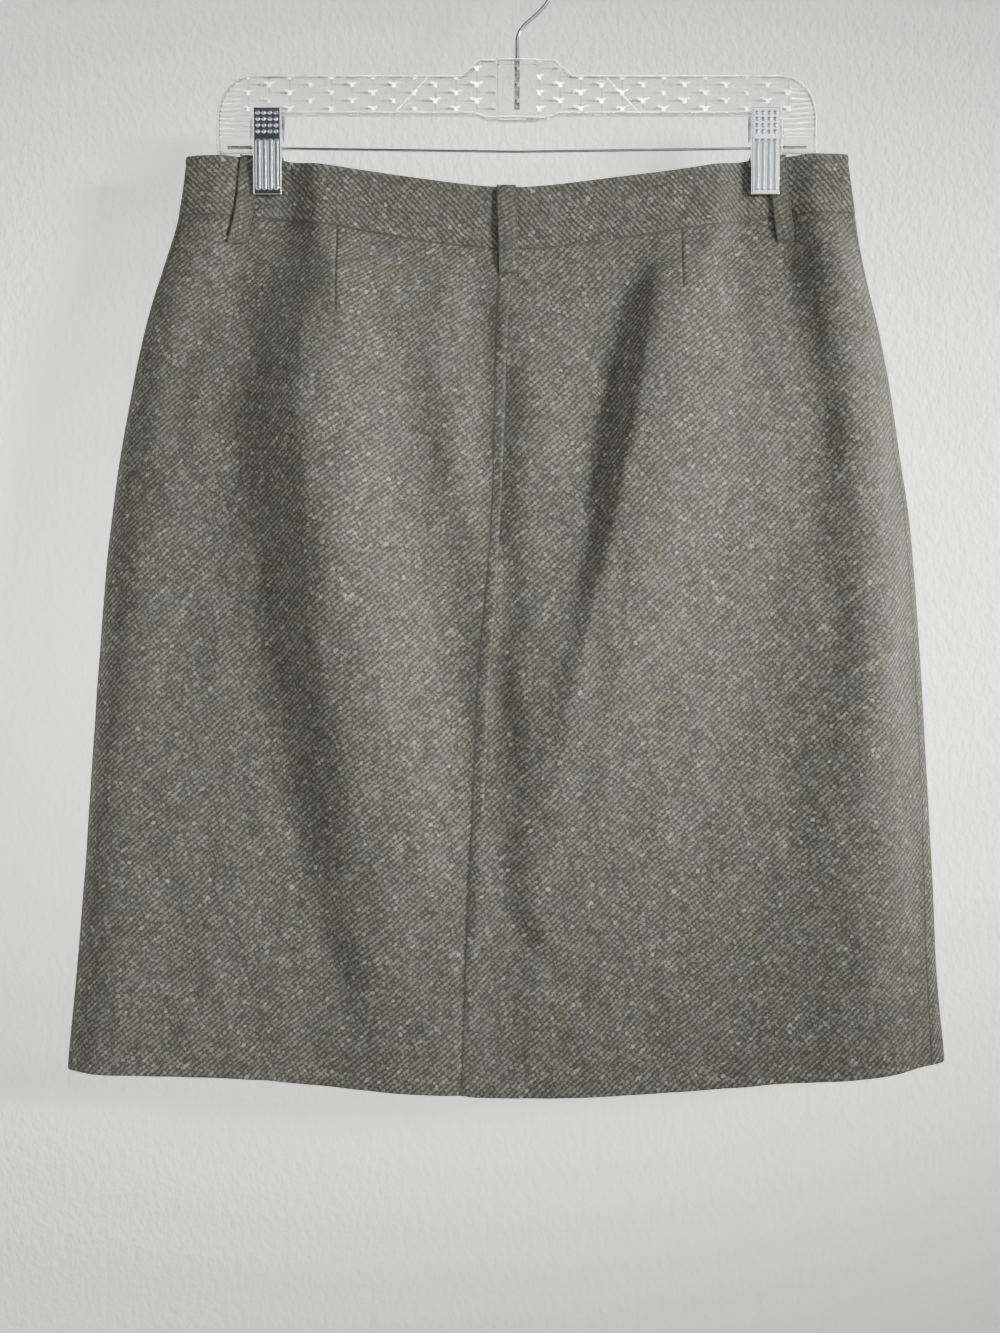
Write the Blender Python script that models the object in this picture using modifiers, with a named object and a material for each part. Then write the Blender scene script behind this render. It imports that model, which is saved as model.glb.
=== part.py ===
# A wool pencil skirt held at its waistband by the two clips of a clear plastic hanger.
# Frame: the origin is the inner top of the hook, +Z up. The skirt's back faces -Y, its front +Y.
# Sizes are in millimetres and become metres where a mesh is made.

import math

import bmesh
import bpy
import numpy as np
from mathutils import Matrix, Vector

MM = 0.001
GAP = 0.3

# cloth
PANEL_WALL = 1.6
BAND_WALL = 2.4
LOOP_WALL = 1.4
LOOP_BOW = 1.2
CLIPPED_BOW = 0.5
CLIPPED_DROP = 25.0
BAND_HEIGHT = 35.0
LOOP_END = 48.0
SKIRT_LENGTH = 538.0
TOP_CORNER_Z = -123.0

# each section: how far it lies below the waistband's top corners, its left and right outline,
# its depth towards the back and towards the front, how far its middle sags, how much its right
# end is lifted, and how far the right side seam lies in from the outline
SECTIONS = [
    dict(drop=0, left=-194.4, right=195.0, near=9, far=8, sag=21.5, lift=1.2, seam_in=2.4),
    dict(drop=35, left=-199.7, right=199.4, near=11, far=9, sag=21, lift=1.2, seam_in=2.4),
    dict(drop=60, left=-206.8, right=202.0, near=13, far=10, sag=20.5, lift=1.2, seam_in=2.6),
    dict(drop=92, left=-217.5, right=209.5, near=17, far=12, sag=19.5, lift=1.3, seam_in=4.0),
    dict(drop=130, left=-226.5, right=216.5, near=21, far=14, sag=18.5, lift=1.4, seam_in=5.5),
    dict(drop=175, left=-234.0, right=223.5, near=24, far=17, sag=17.5, lift=1.5, seam_in=5.8),
    dict(drop=222, left=-240.5, right=229.5, near=26, far=19, sag=16.5, lift=1.6, seam_in=5.8),
    dict(drop=280, left=-245.5, right=235.5, near=26, far=20, sag=15.5, lift=1.8, seam_in=6.0),
    dict(drop=350, left=-251.5, right=240.0, near=26, far=20, sag=14.5, lift=2.0, seam_in=6.3),
    dict(drop=420, left=-256.0, right=244.0, near=24, far=20, sag=13.5, lift=2.2, seam_in=7.0),
    dict(drop=490, left=-261.5, right=248.0, near=22, far=19, sag=12.5, lift=2.4, seam_in=8.5),
    dict(drop=538, left=-264.3, right=252.5, near=21, far=18, sag=12, lift=2.5, seam_in=10.0),
]
SECTION_BLUR = 14.0
LEFT_SEAM_IN = 2.4

# the centre back seam leans to the left on its way down
SEAM_LINE = [
    dict(drop=0, x=-12.4),
    dict(drop=48, x=-10.6),
    dict(drop=180, x=-14.2),
    dict(drop=300, x=-23.0),
    dict(drop=420, x=-29.0),
    dict(drop=538, x=-32.6),
]

# soft ridges that fall from the clips and the darts: where the crest runs, how far it stands
# out there, and how wide its left and right flanks are
BACK_FOLDS = [
    dict(name="left clip", drop=(40, 110, 174, 263, 352, 411, 520),
         x=(-121, -120, -118, -112, -103, -92, -70),
         height=(10, 15, 16, 15, 11, 8, 5), left_width=23, right_width=40),
    dict(name="left broad", drop=(40, 110, 174, 263, 352, 411, 470), x=(-108, -104, -98, -84, -68, -56, -48),
         height=(3, 7, 9, 11, 11, 7, 2), left_width=42, right_width=32),
    dict(name="beside seam", drop=(60, 100, 174, 240, 300), x=(-46, -42, -33, -27, -24),
         height=(0, 3, 5, 3, 0), left_width=18, right_width=14),
    dict(name="seam", drop=(60, 100, 174, 300, 411, 520), x=(8, 8, 8, 8, 12, 20),
         height=(0, 5, 6, 6, 4, 1), left_width=14, right_width=34),
    dict(name="right dart", drop=(50, 78, 150, 230, 310, 380), x=(86, 82, 67, 50, 32, 18),
         height=(4, 8, 10, 9, 6, 0), left_width=11, right_width=40),
    dict(name="right broad", drop=(50, 100, 200, 300, 400, 470), x=(104, 96, 80, 64, 52, 46),
         height=(4, 11, 17, 17, 10, 3), left_width=50, right_width=54),
    dict(name="right clip", drop=(40, 78, 172, 263, 330, 420), x=(184, 188, 198, 204, 206, 206),
         height=(8, 10, 11, 8, 5, 1), left_width=17, right_width=22),
    dict(name="right low", drop=(180, 240, 330, 420, 500), x=(196, 200, 202, 204, 206),
         height=(0, 5, 9, 8, 5), left_width=46, right_width=24),
]
FRONT_FOLDS = [
    dict(name="right clip", drop=(40, 120, 240, 360, 480), x=(122, 118, 108, 98, 92),
         height=(5, 9, 9, 6, 3), left_width=38, right_width=24),
    dict(name="right dart", drop=(60, 120, 220, 320), x=(72, 64, 50, 40),
         height=(2, 5, 5, 0), left_width=34, right_width=20),
    dict(name="left dart", drop=(60, 130, 240, 380), x=(-66, -62, -52, -40),
         height=(2, 6, 7, 0), left_width=22, right_width=36),
    dict(name="left clip", drop=(40, 120, 240, 380, 500), x=(-124, -122, -112, -102, -96),
         height=(5, 8, 9, 6, 3), left_width=24, right_width=40),
]
FOLD_BLUR = 18.0
FOLD_START = 20.0
FOLD_FULL = 60.0

# the clips press the layers together: how far to each side, how much wider that gets for each
# millimetre below the band, and how far below the band it is gone
HOLD_SPREAD = 20.0
HOLD_WIDENS = 0.35
HOLD_FADE = 110.0
HELD = 1.45

# the sagging line between the clips: where it is lowest, and how round it is there
SAG_MIDDLE = -5.0
SAG_BEND = 30.0

# columns of the solids, crowded towards the side seams
LEFT_COLUMNS = 22
RIGHT_COLUMNS = 24
FRONT_COLUMNS = 39
BACK_CROWD = 1.2
FRONT_CROWD = 0.4

# vent at the foot of the centre back seam
VENT_TOP = 374.0
VENT_ABOVE = 362.0
UNDERLAP_PART = 0.16

# belt loops: the part of the panel's width that each covers
LOOPS_LEFT = {"loop_back_left": (0.159, 0.221)}
LOOPS_RIGHT = {"loop_back_centre": (0.0, 0.0566), "loop_back_right": (0.7816, 0.8355)}
FRONT_LOOP_X = 95.0
LOOP_WIDTH = 11.5

# hanger
HANGER_HALF = 177.8
HANGER_WALL = 6.0
HANGER_WEB = 2.4
HANGER_RIM = 1.8
BAR_TOP = -75.9
BAR_BOTTOM = -99.0
LEG_INNER = 156.0
LEG_BOTTOM = -121.4
LEG_POCKET_BOTTOM = -112.0
CORNER_WIDE = 21.0
CORNER_HIGH = 26.0
INNER_CORNER = 5.0
BOSS_TOP = -66.4
BOSS_BOTTOM = -101.9
BOSS_HALF_TOP = 22.5
BOSS_HALF_FOOT = 32.5
BOSS_HALF_UNDER = 17.8
BOSS_HALF_UNDER_FOOT = 25.0
BOSS_HALF = 11.0
BOSS_WALL = 9.0

# hook: a round wire, straight up out of the boss, then swept round the loop
HOOK_RADIUS = 1.4
HOOK_LOOP_RADIUS = 21.6
HOOK_NECK_HANDLES = (11.0, 13.0)
HOOK_FOOT = -96.0
HOOK_KNEE = -56.0
HOOK_TIP_ANGLE = 200.0
HOOK_START_ANGLE = -32.0

# wire bar and clips
WIRE_RADIUS = 0.9
WIRE_HALF = 171.0
WIRE_END_Z = -118.6
WIRE_SAG = 2.2
PLATE_WIDTH = 17.0
PLATE_WALL = 1.0
PLATE_TOP = -94.5
PLATE_BOTTOM = -145.2
PLATE_SPREAD = 8.4
REAR_JAW = 2.95
FRONT_JAW = REAR_JAW + LOOP_WALL + GAP
CLIP_FLAT = 12.0
CLIPS = [
    dict(name="clip_left", x=-147.1),
    dict(name="clip_right", x=146.3),
]
RIB_PITCH = 3.56
RIB_TOP = -113.2
RIB_BOTTOM = -142.2
RIB_WIDTH = 2.2
RIB_CROWN = (0.5, 1.0, 0.96)
DOT_RADIUS = 1.0
DOT_CROWN = 0.45
DOT_TOP = -97.8
DOT_PITCH = 3.6
RAISED = 0.6
SUNK = 0.3
EAR_HALF = 3.2
EAR_PAST_WIRE = 3.0
SPRING_RADIUS = 2.6
SPRING_HALF = 4.6

for leftover in list(bpy.data.objects):
    bpy.data.objects.remove(leftover, do_unlink=True)

part_collection = bpy.data.collections.new("pencil_skirt_on_hanger")
bpy.context.scene.collection.children.link(part_collection)
cutter_collection = bpy.data.collections.new("cutters")
bpy.context.scene.collection.children.link(cutter_collection)


def make_material(name, color, roughness, metallic=0.0, alpha=1.0):
    """A Principled material of one colour."""
    material = bpy.data.materials.new(name)
    material.use_nodes = True
    shader = material.node_tree.nodes["Principled BSDF"]
    shader.inputs["Base Color"].default_value = (*color, 1.0)
    shader.inputs["Roughness"].default_value = roughness
    shader.inputs["Metallic"].default_value = metallic
    shader.inputs["Alpha"].default_value = alpha
    return material


def add_object(name, mesh, material, collection=part_collection):
    """Links a mesh as a named object with one material."""
    made = bpy.data.objects.new(name, mesh)
    collection.objects.link(made)
    if material:
        made.data.materials.append(material)
    return made


# ---- the cloth as one closed tube ----


def smooth(value):
    value = np.clip(value, 0.0, 1.0)
    return value * value * (3.0 - 2.0 * value)


def read_soft(rows, column, drop, blur):
    """A column of a table at the given drops, its corners rounded over the blur length."""
    drops = [row["drop"] for row in rows]
    values = [row[column] for row in rows]
    steps = np.linspace(-blur, blur, 7)
    return sum(np.interp(drop + step, drops, values) for step in steps) / len(steps)


def section(column, drop):
    return read_soft(SECTIONS, column, drop, SECTION_BLUR)


def fold_height(folds, x, drop):
    """Sum of the ridges: each is a bell across its crest, wider on one flank than on the other."""
    total = np.zeros(np.broadcast(x, drop).shape)
    steps = np.linspace(-FOLD_BLUR, FOLD_BLUR, 5)
    for fold in folds:
        crest = sum(np.interp(drop + step, fold["drop"], fold["x"]) for step in steps) / len(steps)
        height = sum(np.interp(drop + step, fold["drop"], fold["height"]) for step in steps) / len(steps)
        away = x - crest
        width = np.where(away < 0, fold["left_width"], fold["right_width"])
        total = total + height * np.exp(-((away / width) ** 2))
    return total


def clip_hold(x, drop):
    """1 where a clip presses the two layers together, 0 away from it, wider and weaker lower down."""
    spread = HOLD_SPREAD + HOLD_WIDENS * np.maximum(drop - BAND_HEIGHT, 0.0)
    fade = 1.0 - smooth((drop - BAND_HEIGHT) / HOLD_FADE)
    hold = sum(1.0 - smooth((np.abs(x - clip["x"]) - CLIP_FLAT) / spread) for clip in CLIPS)
    return np.clip(hold, 0.0, 1.0) * fade


def hammock(x):
    """How far the cloth between the clips has sagged, from 0 at the clips to 1 in the middle."""
    reach = np.where(x < SAG_MIDDLE, SAG_MIDDLE - CLIPS[0]["x"], CLIPS[1]["x"] - SAG_MIDDLE)
    fall = np.sqrt((x - SAG_MIDDLE) ** 2 + SAG_BEND**2) - SAG_BEND
    value = 1.0 - fall / (np.sqrt(reach**2 + SAG_BEND**2) - SAG_BEND)
    return 0.5 * (value + np.sqrt(value**2 + 0.0016))


def cloth_point(angle, drop):
    """The middle of the cloth. The angle runs from -90 degrees at the left outline, over the
    back at 0, to 90 at the right outline, and on over the front to 270."""
    across = np.sin(angle)
    left = section("left", drop)
    right = section("right", drop)
    x = (left + right) / 2 + (right - left) / 2 * across
    lens = np.cos(angle) * np.sqrt(1.0 + across**2)
    is_back = lens >= 0
    depth = np.where(is_back, section("near", drop), section("far", drop)) * np.abs(lens)
    hold = clip_hold(x, drop)
    depth = depth + hold * (np.minimum(depth, HELD) - depth)
    folds = np.where(is_back, fold_height(BACK_FOLDS, x, drop), fold_height(FRONT_FOLDS, x, drop))
    depth = depth + folds * smooth(np.abs(lens) / 0.8) * smooth((drop - FOLD_START) / FOLD_FULL)
    y = np.where(is_back, -depth, depth)
    z = TOP_CORNER_Z - drop - section("sag", drop) * hammock(x) + section("lift", drop) * across
    return np.stack(np.broadcast_arrays(x, y, z), axis=-1)


def cloth_normal(angle, drop):
    """The outward normal, from the cloth's own slopes."""
    turn = 0.002
    step = 0.2
    along = cloth_point(angle + turn, drop) - cloth_point(angle - turn, drop)
    down = cloth_point(angle, drop + step) - cloth_point(angle, drop - step)
    normal = np.cross(down, along)
    return normal / np.linalg.norm(normal, axis=-1, keepdims=True)


def angle_at(x, drop):
    """The angle on the back where the outline position is x."""
    left = section("left", drop)
    right = section("right", drop)
    return np.arcsin(np.clip((2 * x - left - right) / (right - left), -1.0, 1.0))


def shift(angle, drop, distance):
    """The angle a distance further round the cloth."""
    turn = 0.002
    speed = np.linalg.norm(cloth_point(angle + turn, drop) - cloth_point(angle - turn, drop), axis=-1)
    return angle + distance * 2 * turn / speed


def left_seam(drop):
    return section("left", drop) + LEFT_SEAM_IN


def right_seam(drop):
    return section("right", drop) - section("seam_in", drop)


def centre_seam(drop):
    return read_soft(SEAM_LINE, "x", drop, SECTION_BLUR)


def back_stops(count, edges, dense_at):
    """Column places from 0 to 1, closer together at the side seam, with the loops' edges among them."""
    even = np.sin(BACK_CROWD * np.linspace(0, 1, count)) / math.sin(BACK_CROWD)
    places = 1 - even[::-1] if dense_at == 0 else even
    fixed = {0.0, 1.0} | {edge for pair in edges for edge in (pair[0], sum(pair) / 2, pair[1])}
    kept = [place for place in places if min(abs(place - edge) for edge in fixed) > 0.018]
    return np.array(sorted(kept + list(fixed)))


def front_angles(places, drop):
    """Angles of the front's columns, from the right side seam round to the left one."""
    start = angle_at(right_seam(drop), drop)
    end = angle_at(left_seam(drop), drop) + 2 * math.pi
    eased = places + FRONT_CROWD / (2 * math.pi) * np.sin(2 * math.pi * places)
    return start + (end - start) * eased


def back_angles(places, drop, from_x, to_x):
    return angle_at(from_x(drop) + (to_x(drop) - from_x(drop)) * places, drop)


def inset_ends(angles, drops, distance=GAP / 2):
    """The same columns, with the first and last one drawn in from the seams."""
    drawn = angles.copy()
    drawn[:, 0] = shift(angles[:, 0], drops[:, 0], distance)
    drawn[:, -1] = shift(angles[:, -1], drops[:, 0], -distance)
    return drawn


def wall_mesh(name, outer, inner, cells):
    """A closed wall between two grids of points, over the cells that are kept."""
    rows, columns = cells.shape
    index = np.arange((rows + 1) * (columns + 1)).reshape(rows + 1, columns + 1)
    quads = np.stack([index[:-1, :-1], index[1:, :-1], index[1:, 1:], index[:-1, 1:]], axis=-1)[cells]
    edges = np.concatenate([quads[:, [side, (side + 1) % 4]] for side in range(4)])
    there = {tuple(edge) for edge in edges}
    count = index.size
    rims = [(b, a, a + count, b + count) for a, b in edges if (b, a) not in there]
    faces = quads.tolist() + (quads[:, ::-1] + count).tolist() + [tuple(map(int, rim)) for rim in rims]
    points = np.concatenate([outer.reshape(-1, 3), inner.reshape(-1, 3)]) * MM
    mesh = bpy.data.meshes.new(name)
    mesh.from_pydata(points.tolist(), [], faces)
    shape = bmesh.new()
    shape.from_mesh(mesh)
    bmesh.ops.delete(shape, geom=[v for v in shape.verts if not v.link_faces], context="VERTS")
    shape.to_mesh(mesh)
    shape.free()
    mesh.shade_smooth()
    return mesh


def cloth_wall(name, angles, drops, wall, material, out=0.0, cells=None):
    """A piece of cloth over a grid of angles and drops, standing out from the middle by out."""
    points = cloth_point(angles, drops)
    normals = cloth_normal(angles, drops)
    stand = np.broadcast_to(np.asarray(out, float), angles.shape)[..., None]
    if cells is None:
        cells = np.ones((angles.shape[0] - 1, angles.shape[1] - 1), bool)
    outer = points + normals * (stand + wall / 2)
    inner = points + normals * (stand - wall / 2)
    return add_object(name, wall_mesh(name, outer, inner, cells), material)


def grid(places, drops):
    return places[None, :], np.asarray(drops, float)[:, None]


band_drops = np.array([0.0, 11.5, 23.0, BAND_HEIGHT - GAP / 2])
panel_drops = np.array(
    [BAND_HEIGHT + GAP / 2, LOOP_END, 62, 80, 100, 122, 146, 172, 200, 230, 262, 296, 330]
    + [VENT_ABOVE, VENT_TOP, 402, 432, 464, 496, 520, SKIRT_LENGTH]
)
loop_drops = np.array([0.6, 11.5, 23.0, BAND_HEIGHT, LOOP_END])

left_stops = back_stops(LEFT_COLUMNS, list(LOOPS_LEFT.values()), dense_at=0)
right_stops = back_stops(RIGHT_COLUMNS, list(LOOPS_RIGHT.values()), dense_at=1)


def front_places():
    """Column places of the front, with the edges of its two loops among them."""
    fine = np.linspace(0, 1, 4001)
    x = cloth_point(front_angles(fine, BAND_HEIGHT / 2), BAND_HEIGHT / 2)[:, 0]
    edges = []
    for middle in (FRONT_LOOP_X, -FRONT_LOOP_X):
        for side in (LOOP_WIDTH / 2, 0, -LOOP_WIDTH / 2):
            edges.append(float(np.interp(-(middle + side), -x[200:-200], fine[200:-200])))
    even = np.linspace(0, 1, FRONT_COLUMNS)
    kept = [place for place in even if min(abs(place - edge) for edge in edges) > 0.01]
    return np.array(sorted(kept + edges)), edges


front_stops, front_loop_edges = front_places()

# ---- materials ----

tweed = make_material("wool_twill", (0.143, 0.139, 0.114), 0.9)
clear_plastic = make_material("clear_plastic", (0.93, 0.95, 0.94), 0.08, alpha=0.35)
zinc = make_material("zinc_plate", (0.75, 0.76, 0.78), 0.22, metallic=1.0)
steel = make_material("steel_wire", (0.62, 0.62, 0.63), 0.25, metallic=1.0)

# ---- back, left half with the vent's underlap ----


def back_left():
    places, drops = grid(left_stops, panel_drops)
    own = back_angles(places, drops, left_seam, centre_seam)
    own = inset_ends(own, drops + 0 * own)
    covered = right_stops[(right_stops > 0) & (right_stops < UNDERLAP_PART)]
    under = back_angles(covered[None, :], drops, centre_seam, right_seam)
    angles = np.concatenate([own, under], axis=1)
    below = drops >= VENT_TOP
    column = np.arange(angles.shape[1])[None, :]
    tucked = below & (column >= own.shape[1] - 1)
    out = np.where(tucked, -(PANEL_WALL + GAP), 0.0)
    cells = np.ones((angles.shape[0] - 1, angles.shape[1] - 1), bool)
    cells[:, own.shape[1] - 1:] = below[:-1, :]
    cloth_wall("back_left", angles, drops + 0 * angles, PANEL_WALL, tweed, out, cells)


def back_right():
    places, drops = grid(right_stops, panel_drops)
    angles = back_angles(places, drops, centre_seam, right_seam)
    angles = inset_ends(angles, drops + 0 * angles)
    cloth_wall("back_right", angles, drops + 0 * angles, PANEL_WALL, tweed)


def front():
    places, drops = grid(front_stops, panel_drops[panel_drops != VENT_ABOVE])
    angles = front_angles(places, drops)
    angles = inset_ends(angles, drops + 0 * angles)
    cloth_wall("front", angles, drops + 0 * angles, PANEL_WALL, tweed)


def waistband():
    """Two walls that carry on the panels' columns, a little thicker than they are."""
    places, drops = grid(left_stops, band_drops)
    left = back_angles(places, drops, left_seam, centre_seam)
    right = back_angles(right_stops[None, 1:], drops, centre_seam, right_seam)
    angles = np.concatenate([left, right], axis=1)
    angles = inset_ends(angles, drops + 0 * angles)
    cloth_wall("waistband_back", angles, drops + 0 * angles, BAND_WALL, tweed)
    angles = front_angles(front_stops[None, :], drops)
    angles = inset_ends(angles, drops + 0 * angles)
    cloth_wall("waistband_front", angles, drops + 0 * angles, BAND_WALL, tweed)


def loop_strip(name, angles, drops, clipped=False):
    """A strip over the band's own columns, bowed out between its two ends, or below a clip."""
    start = CLIPPED_DROP if clipped else drops[0]
    part = np.clip((drops - start) / (drops[-1] - start), 0.0, 1.0)
    bow = (CLIPPED_BOW if clipped else LOOP_BOW) * np.sin(math.pi * part)
    out = BAND_WALL / 2 + GAP + LOOP_WALL / 2 + bow
    cloth_wall(name, angles, drops + 0 * angles, LOOP_WALL, tweed, out + 0 * angles)


def belt_loops():
    drops = loop_drops[:, None]
    for name, (start, end) in LOOPS_LEFT.items():
        places = np.array([[start, (start + end) / 2, end]])
        loop_strip(name, back_angles(places, drops, left_seam, centre_seam), drops, clipped=True)
    for name, (start, end) in LOOPS_RIGHT.items():
        places = np.array([[start, (start + end) / 2, end]])
        loop_strip(name, back_angles(places, drops, centre_seam, right_seam), drops, clipped=start > 0)
    for name, first in (("loop_front_right", 0), ("loop_front_left", 3)):
        edges = np.array([front_loop_edges[first : first + 3]])
        loop_strip(name, front_angles(edges, drops), drops)


# ---- hanger ----


def extruded(name, outline, low_y, high_y):
    """A prism from an outline of (x, z) points, between two depths."""
    curve = bpy.data.curves.new(name, "CURVE")
    curve.dimensions = "2D"
    curve.fill_mode = "BOTH"
    curve.extrude = (high_y - low_y) / 2 * MM
    spline = curve.splines.new("POLY")
    spline.points.add(len(outline) - 1)
    for point, (x, z) in zip(spline.points, outline):
        point.co = (x * MM, z * MM, 0.0, 1.0)
    spline.use_cyclic_u = True
    holder = bpy.data.objects.new(name, curve)
    cutter_collection.objects.link(holder)
    holder.location = (0.0, (high_y + low_y) / 2 * MM, 0.0)
    holder.rotation_euler = (math.pi / 2, 0.0, 0.0)
    return to_mesh_object(holder, name)


def to_mesh_object(holder, name):
    """The evaluated mesh of a curve, its caps welded, as an object of its own."""
    bpy.context.view_layer.update()
    graph = bpy.context.evaluated_depsgraph_get()
    mesh = bpy.data.meshes.new_from_object(holder.evaluated_get(graph))
    mesh.transform(holder.matrix_world)
    bpy.data.objects.remove(holder, do_unlink=True)
    mesh.name = name
    shape = bmesh.new()
    shape.from_mesh(mesh)
    bmesh.ops.remove_doubles(shape, verts=shape.verts, dist=0.00001)
    bmesh.ops.recalc_face_normals(shape, faces=shape.faces)
    shape.to_mesh(mesh)
    shape.free()
    return mesh


def helper(name, mesh):
    made = add_object(name, mesh, None, cutter_collection)
    made.hide_render = True
    made.display_type = "WIRE"
    return made


def apply_boolean(target, tool, operation):
    modifier = target.modifiers.new(f"{operation.lower()} {tool.name}", "BOOLEAN")
    modifier.operation = operation
    modifier.object = tool
    modifier.solver = "EXACT"


def arc(centre_x, centre_z, wide, high, start, end, count):
    """Points of an elliptic arc, between two angles in degrees."""
    turns = np.radians(np.linspace(start, end, count))
    return [(centre_x + wide * math.cos(t), centre_z + high * math.sin(t)) for t in turns]


def arm_outline(side, inset, inner_x, bottom):
    """Half of the bar with its leg, drawn in by inset, from inner_x out to the end."""
    outer = HANGER_HALF - inset
    top = BAR_TOP - inset
    under = BAR_BOTTOM + inset
    wide = CORNER_WIDE - inset
    high = CORNER_HIGH - inset
    leg = LEG_INNER + inset
    points = [(inner_x, top)]
    points += arc(outer - wide, top - high, wide, high, 90, 0, 9)
    points += [(outer, bottom), (leg, bottom)]
    if inset:
        points += [(leg, under + 2.0), (leg - 2.0, under)]
    else:
        points += arc(leg - INNER_CORNER, under - INNER_CORNER, INNER_CORNER, INNER_CORNER, 0, 90, 5)
    points.append((inner_x, under))
    return [(side * x, z) for x, z in points]


def hanger_outline():
    right = arm_outline(1, 0, BOSS_HALF_FOOT, LEG_BOTTOM)
    left = arm_outline(-1, 0, BOSS_HALF_FOOT, LEG_BOTTOM)[::-1]
    under = [(BOSS_HALF_UNDER_FOOT, BAR_BOTTOM), (BOSS_HALF_UNDER, BOSS_BOTTOM)]
    under += [(-BOSS_HALF_UNDER, BOSS_BOTTOM), (-BOSS_HALF_UNDER_FOOT, BAR_BOTTOM)]
    over = [(-BOSS_HALF_TOP, BOSS_TOP), (BOSS_HALF_TOP, BOSS_TOP)]
    return right + under + left + over


def cylinder(name, radius, start, end, sides=16):
    """A straight rod between two points in millimetres."""
    start = Vector(start) * MM
    end = Vector(end) * MM
    shape = bmesh.new()
    bmesh.ops.create_cone(
        shape, cap_ends=True, segments=sides,
        radius1=radius * MM, radius2=radius * MM, depth=(end - start).length,
    )
    turn = (end - start).to_track_quat("Z", "Y").to_matrix().to_4x4()
    turn.translation = (start + end) / 2
    shape.transform(turn)
    mesh = bpy.data.meshes.new(name)
    shape.to_mesh(mesh)
    shape.free()
    return mesh


def hanger():
    """A bar with two legs and a boss: a thin web inside a rim, bored for the hook and the wire."""
    half = HANGER_WALL / 2
    mesh = extruded("hanger_body", hanger_outline(), -half, half)
    body = add_object("hanger_body", mesh, clear_plastic)
    boss = [(-BOSS_HALF, BOSS_BOTTOM + 0.5), (BOSS_HALF, BOSS_BOTTOM + 0.5)]
    boss += [(BOSS_HALF, BOSS_TOP - 0.5), (-BOSS_HALF, BOSS_TOP - 0.5)]
    thick = helper("boss_block", extruded("boss_block", boss, -BOSS_WALL / 2, BOSS_WALL / 2))
    for side, word in ((1, "right"), (-1, "left")):
        outline = arm_outline(side, HANGER_RIM, BOSS_HALF_FOOT, LEG_POCKET_BOTTOM)
        for face, place in ((1, "wall"), (-1, "back")):
            low, high = sorted((face * HANGER_WEB / 2, face * (half + 1)))
            name = f"pocket_{word}_{place}"
            apply_boolean(body, helper(name, extruded(name, outline, low, high)), "DIFFERENCE")
    apply_boolean(body, thick, "UNION")
    bore = cylinder("hook_bore", HOOK_RADIUS + GAP, (0, 0, HOOK_FOOT - GAP), (0, 0, BOSS_TOP + 5))
    apply_boolean(body, helper("hook_bore", bore), "DIFFERENCE")
    for side, word in ((1, "right"), (-1, "left")):
        start = (side * (LEG_INNER - 5), 0, WIRE_END_Z)
        end = (side * (WIRE_HALF + GAP), 0, WIRE_END_Z)
        name = f"wire_bore_{word}"
        apply_boolean(body, helper(name, cylinder(name, WIRE_RADIUS + GAP, start, end, 12)), "DIFFERENCE")


def rod(name, points, radius, material, sides=2):
    """A round wire along points in millimetres, closed at both ends."""
    curve = bpy.data.curves.new(name, "CURVE")
    curve.dimensions = "3D"
    curve.bevel_depth = radius * MM
    curve.bevel_resolution = sides
    curve.use_fill_caps = True
    spline = curve.splines.new("POLY")
    spline.points.add(len(points) - 1)
    for point, place in zip(spline.points, points):
        point.co = (*(value * MM for value in place), 1.0)
    made = bpy.data.objects.new(name, curve)
    part_collection.objects.link(made)
    curve.materials.append(material)
    return made


def hook():
    """Stem, a swept neck as a cubic curve, and the loop as an arc about its own centre."""
    centre_z = HOOK_RADIUS - HOOK_LOOP_RADIUS
    start = math.radians(HOOK_START_ANGLE)
    meet = (HOOK_LOOP_RADIUS * math.cos(start), centre_z + HOOK_LOOP_RADIUS * math.sin(start))
    toward = (math.sin(start), -math.cos(start))
    low, high = HOOK_NECK_HANDLES
    turn = (meet[0] + high * toward[0], meet[1] + high * toward[1])
    handles = [(0, HOOK_KNEE), (0, HOOK_KNEE + low), turn, meet]
    neck = []
    for t in np.linspace(0, 1, 11):
        weights = ((1 - t) ** 3, 3 * t * (1 - t) ** 2, 3 * t * t * (1 - t), t**3)
        neck.append(tuple(sum(w * h[axis] for w, h in zip(weights, handles)) for axis in (0, 1)))
    loop = arc(0, centre_z, HOOK_LOOP_RADIUS, HOOK_LOOP_RADIUS, HOOK_START_ANGLE, HOOK_TIP_ANGLE, 30)[1:]
    route = [(0, HOOK_FOOT)] + neck + loop
    rod("hook", [(x, 0, z) for x, z in route], HOOK_RADIUS, steel)


def hanger_wire():
    """The bar's wire, straight through both clips and bent down a little between them."""
    xs = np.array([-WIRE_HALF, -LEG_INNER, -110, -60, 0, 60, 110, LEG_INNER, WIRE_HALF])
    fall = WIRE_SAG * np.clip(1 - np.abs(xs) / LEG_INNER, 0, 1)
    rod("hanger_wire", [(x, 0, WIRE_END_Z - low) for x, low in zip(xs, fall)], WIRE_RADIUS, steel)


# ---- clips ----


def box(shape, low, high):
    made = bmesh.ops.create_cube(shape, size=1.0)["verts"]
    size = [(b - a) * MM for a, b in zip(low, high)]
    centre = Vector([(b + a) / 2 * MM for a, b in zip(low, high)])
    bmesh.ops.scale(shape, vec=size, verts=made)
    bmesh.ops.translate(shape, vec=centre, verts=made)
    return made


def wire_z(x):
    return WIRE_END_Z - WIRE_SAG * max(0.0, 1 - abs(x) / LEG_INNER)


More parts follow.
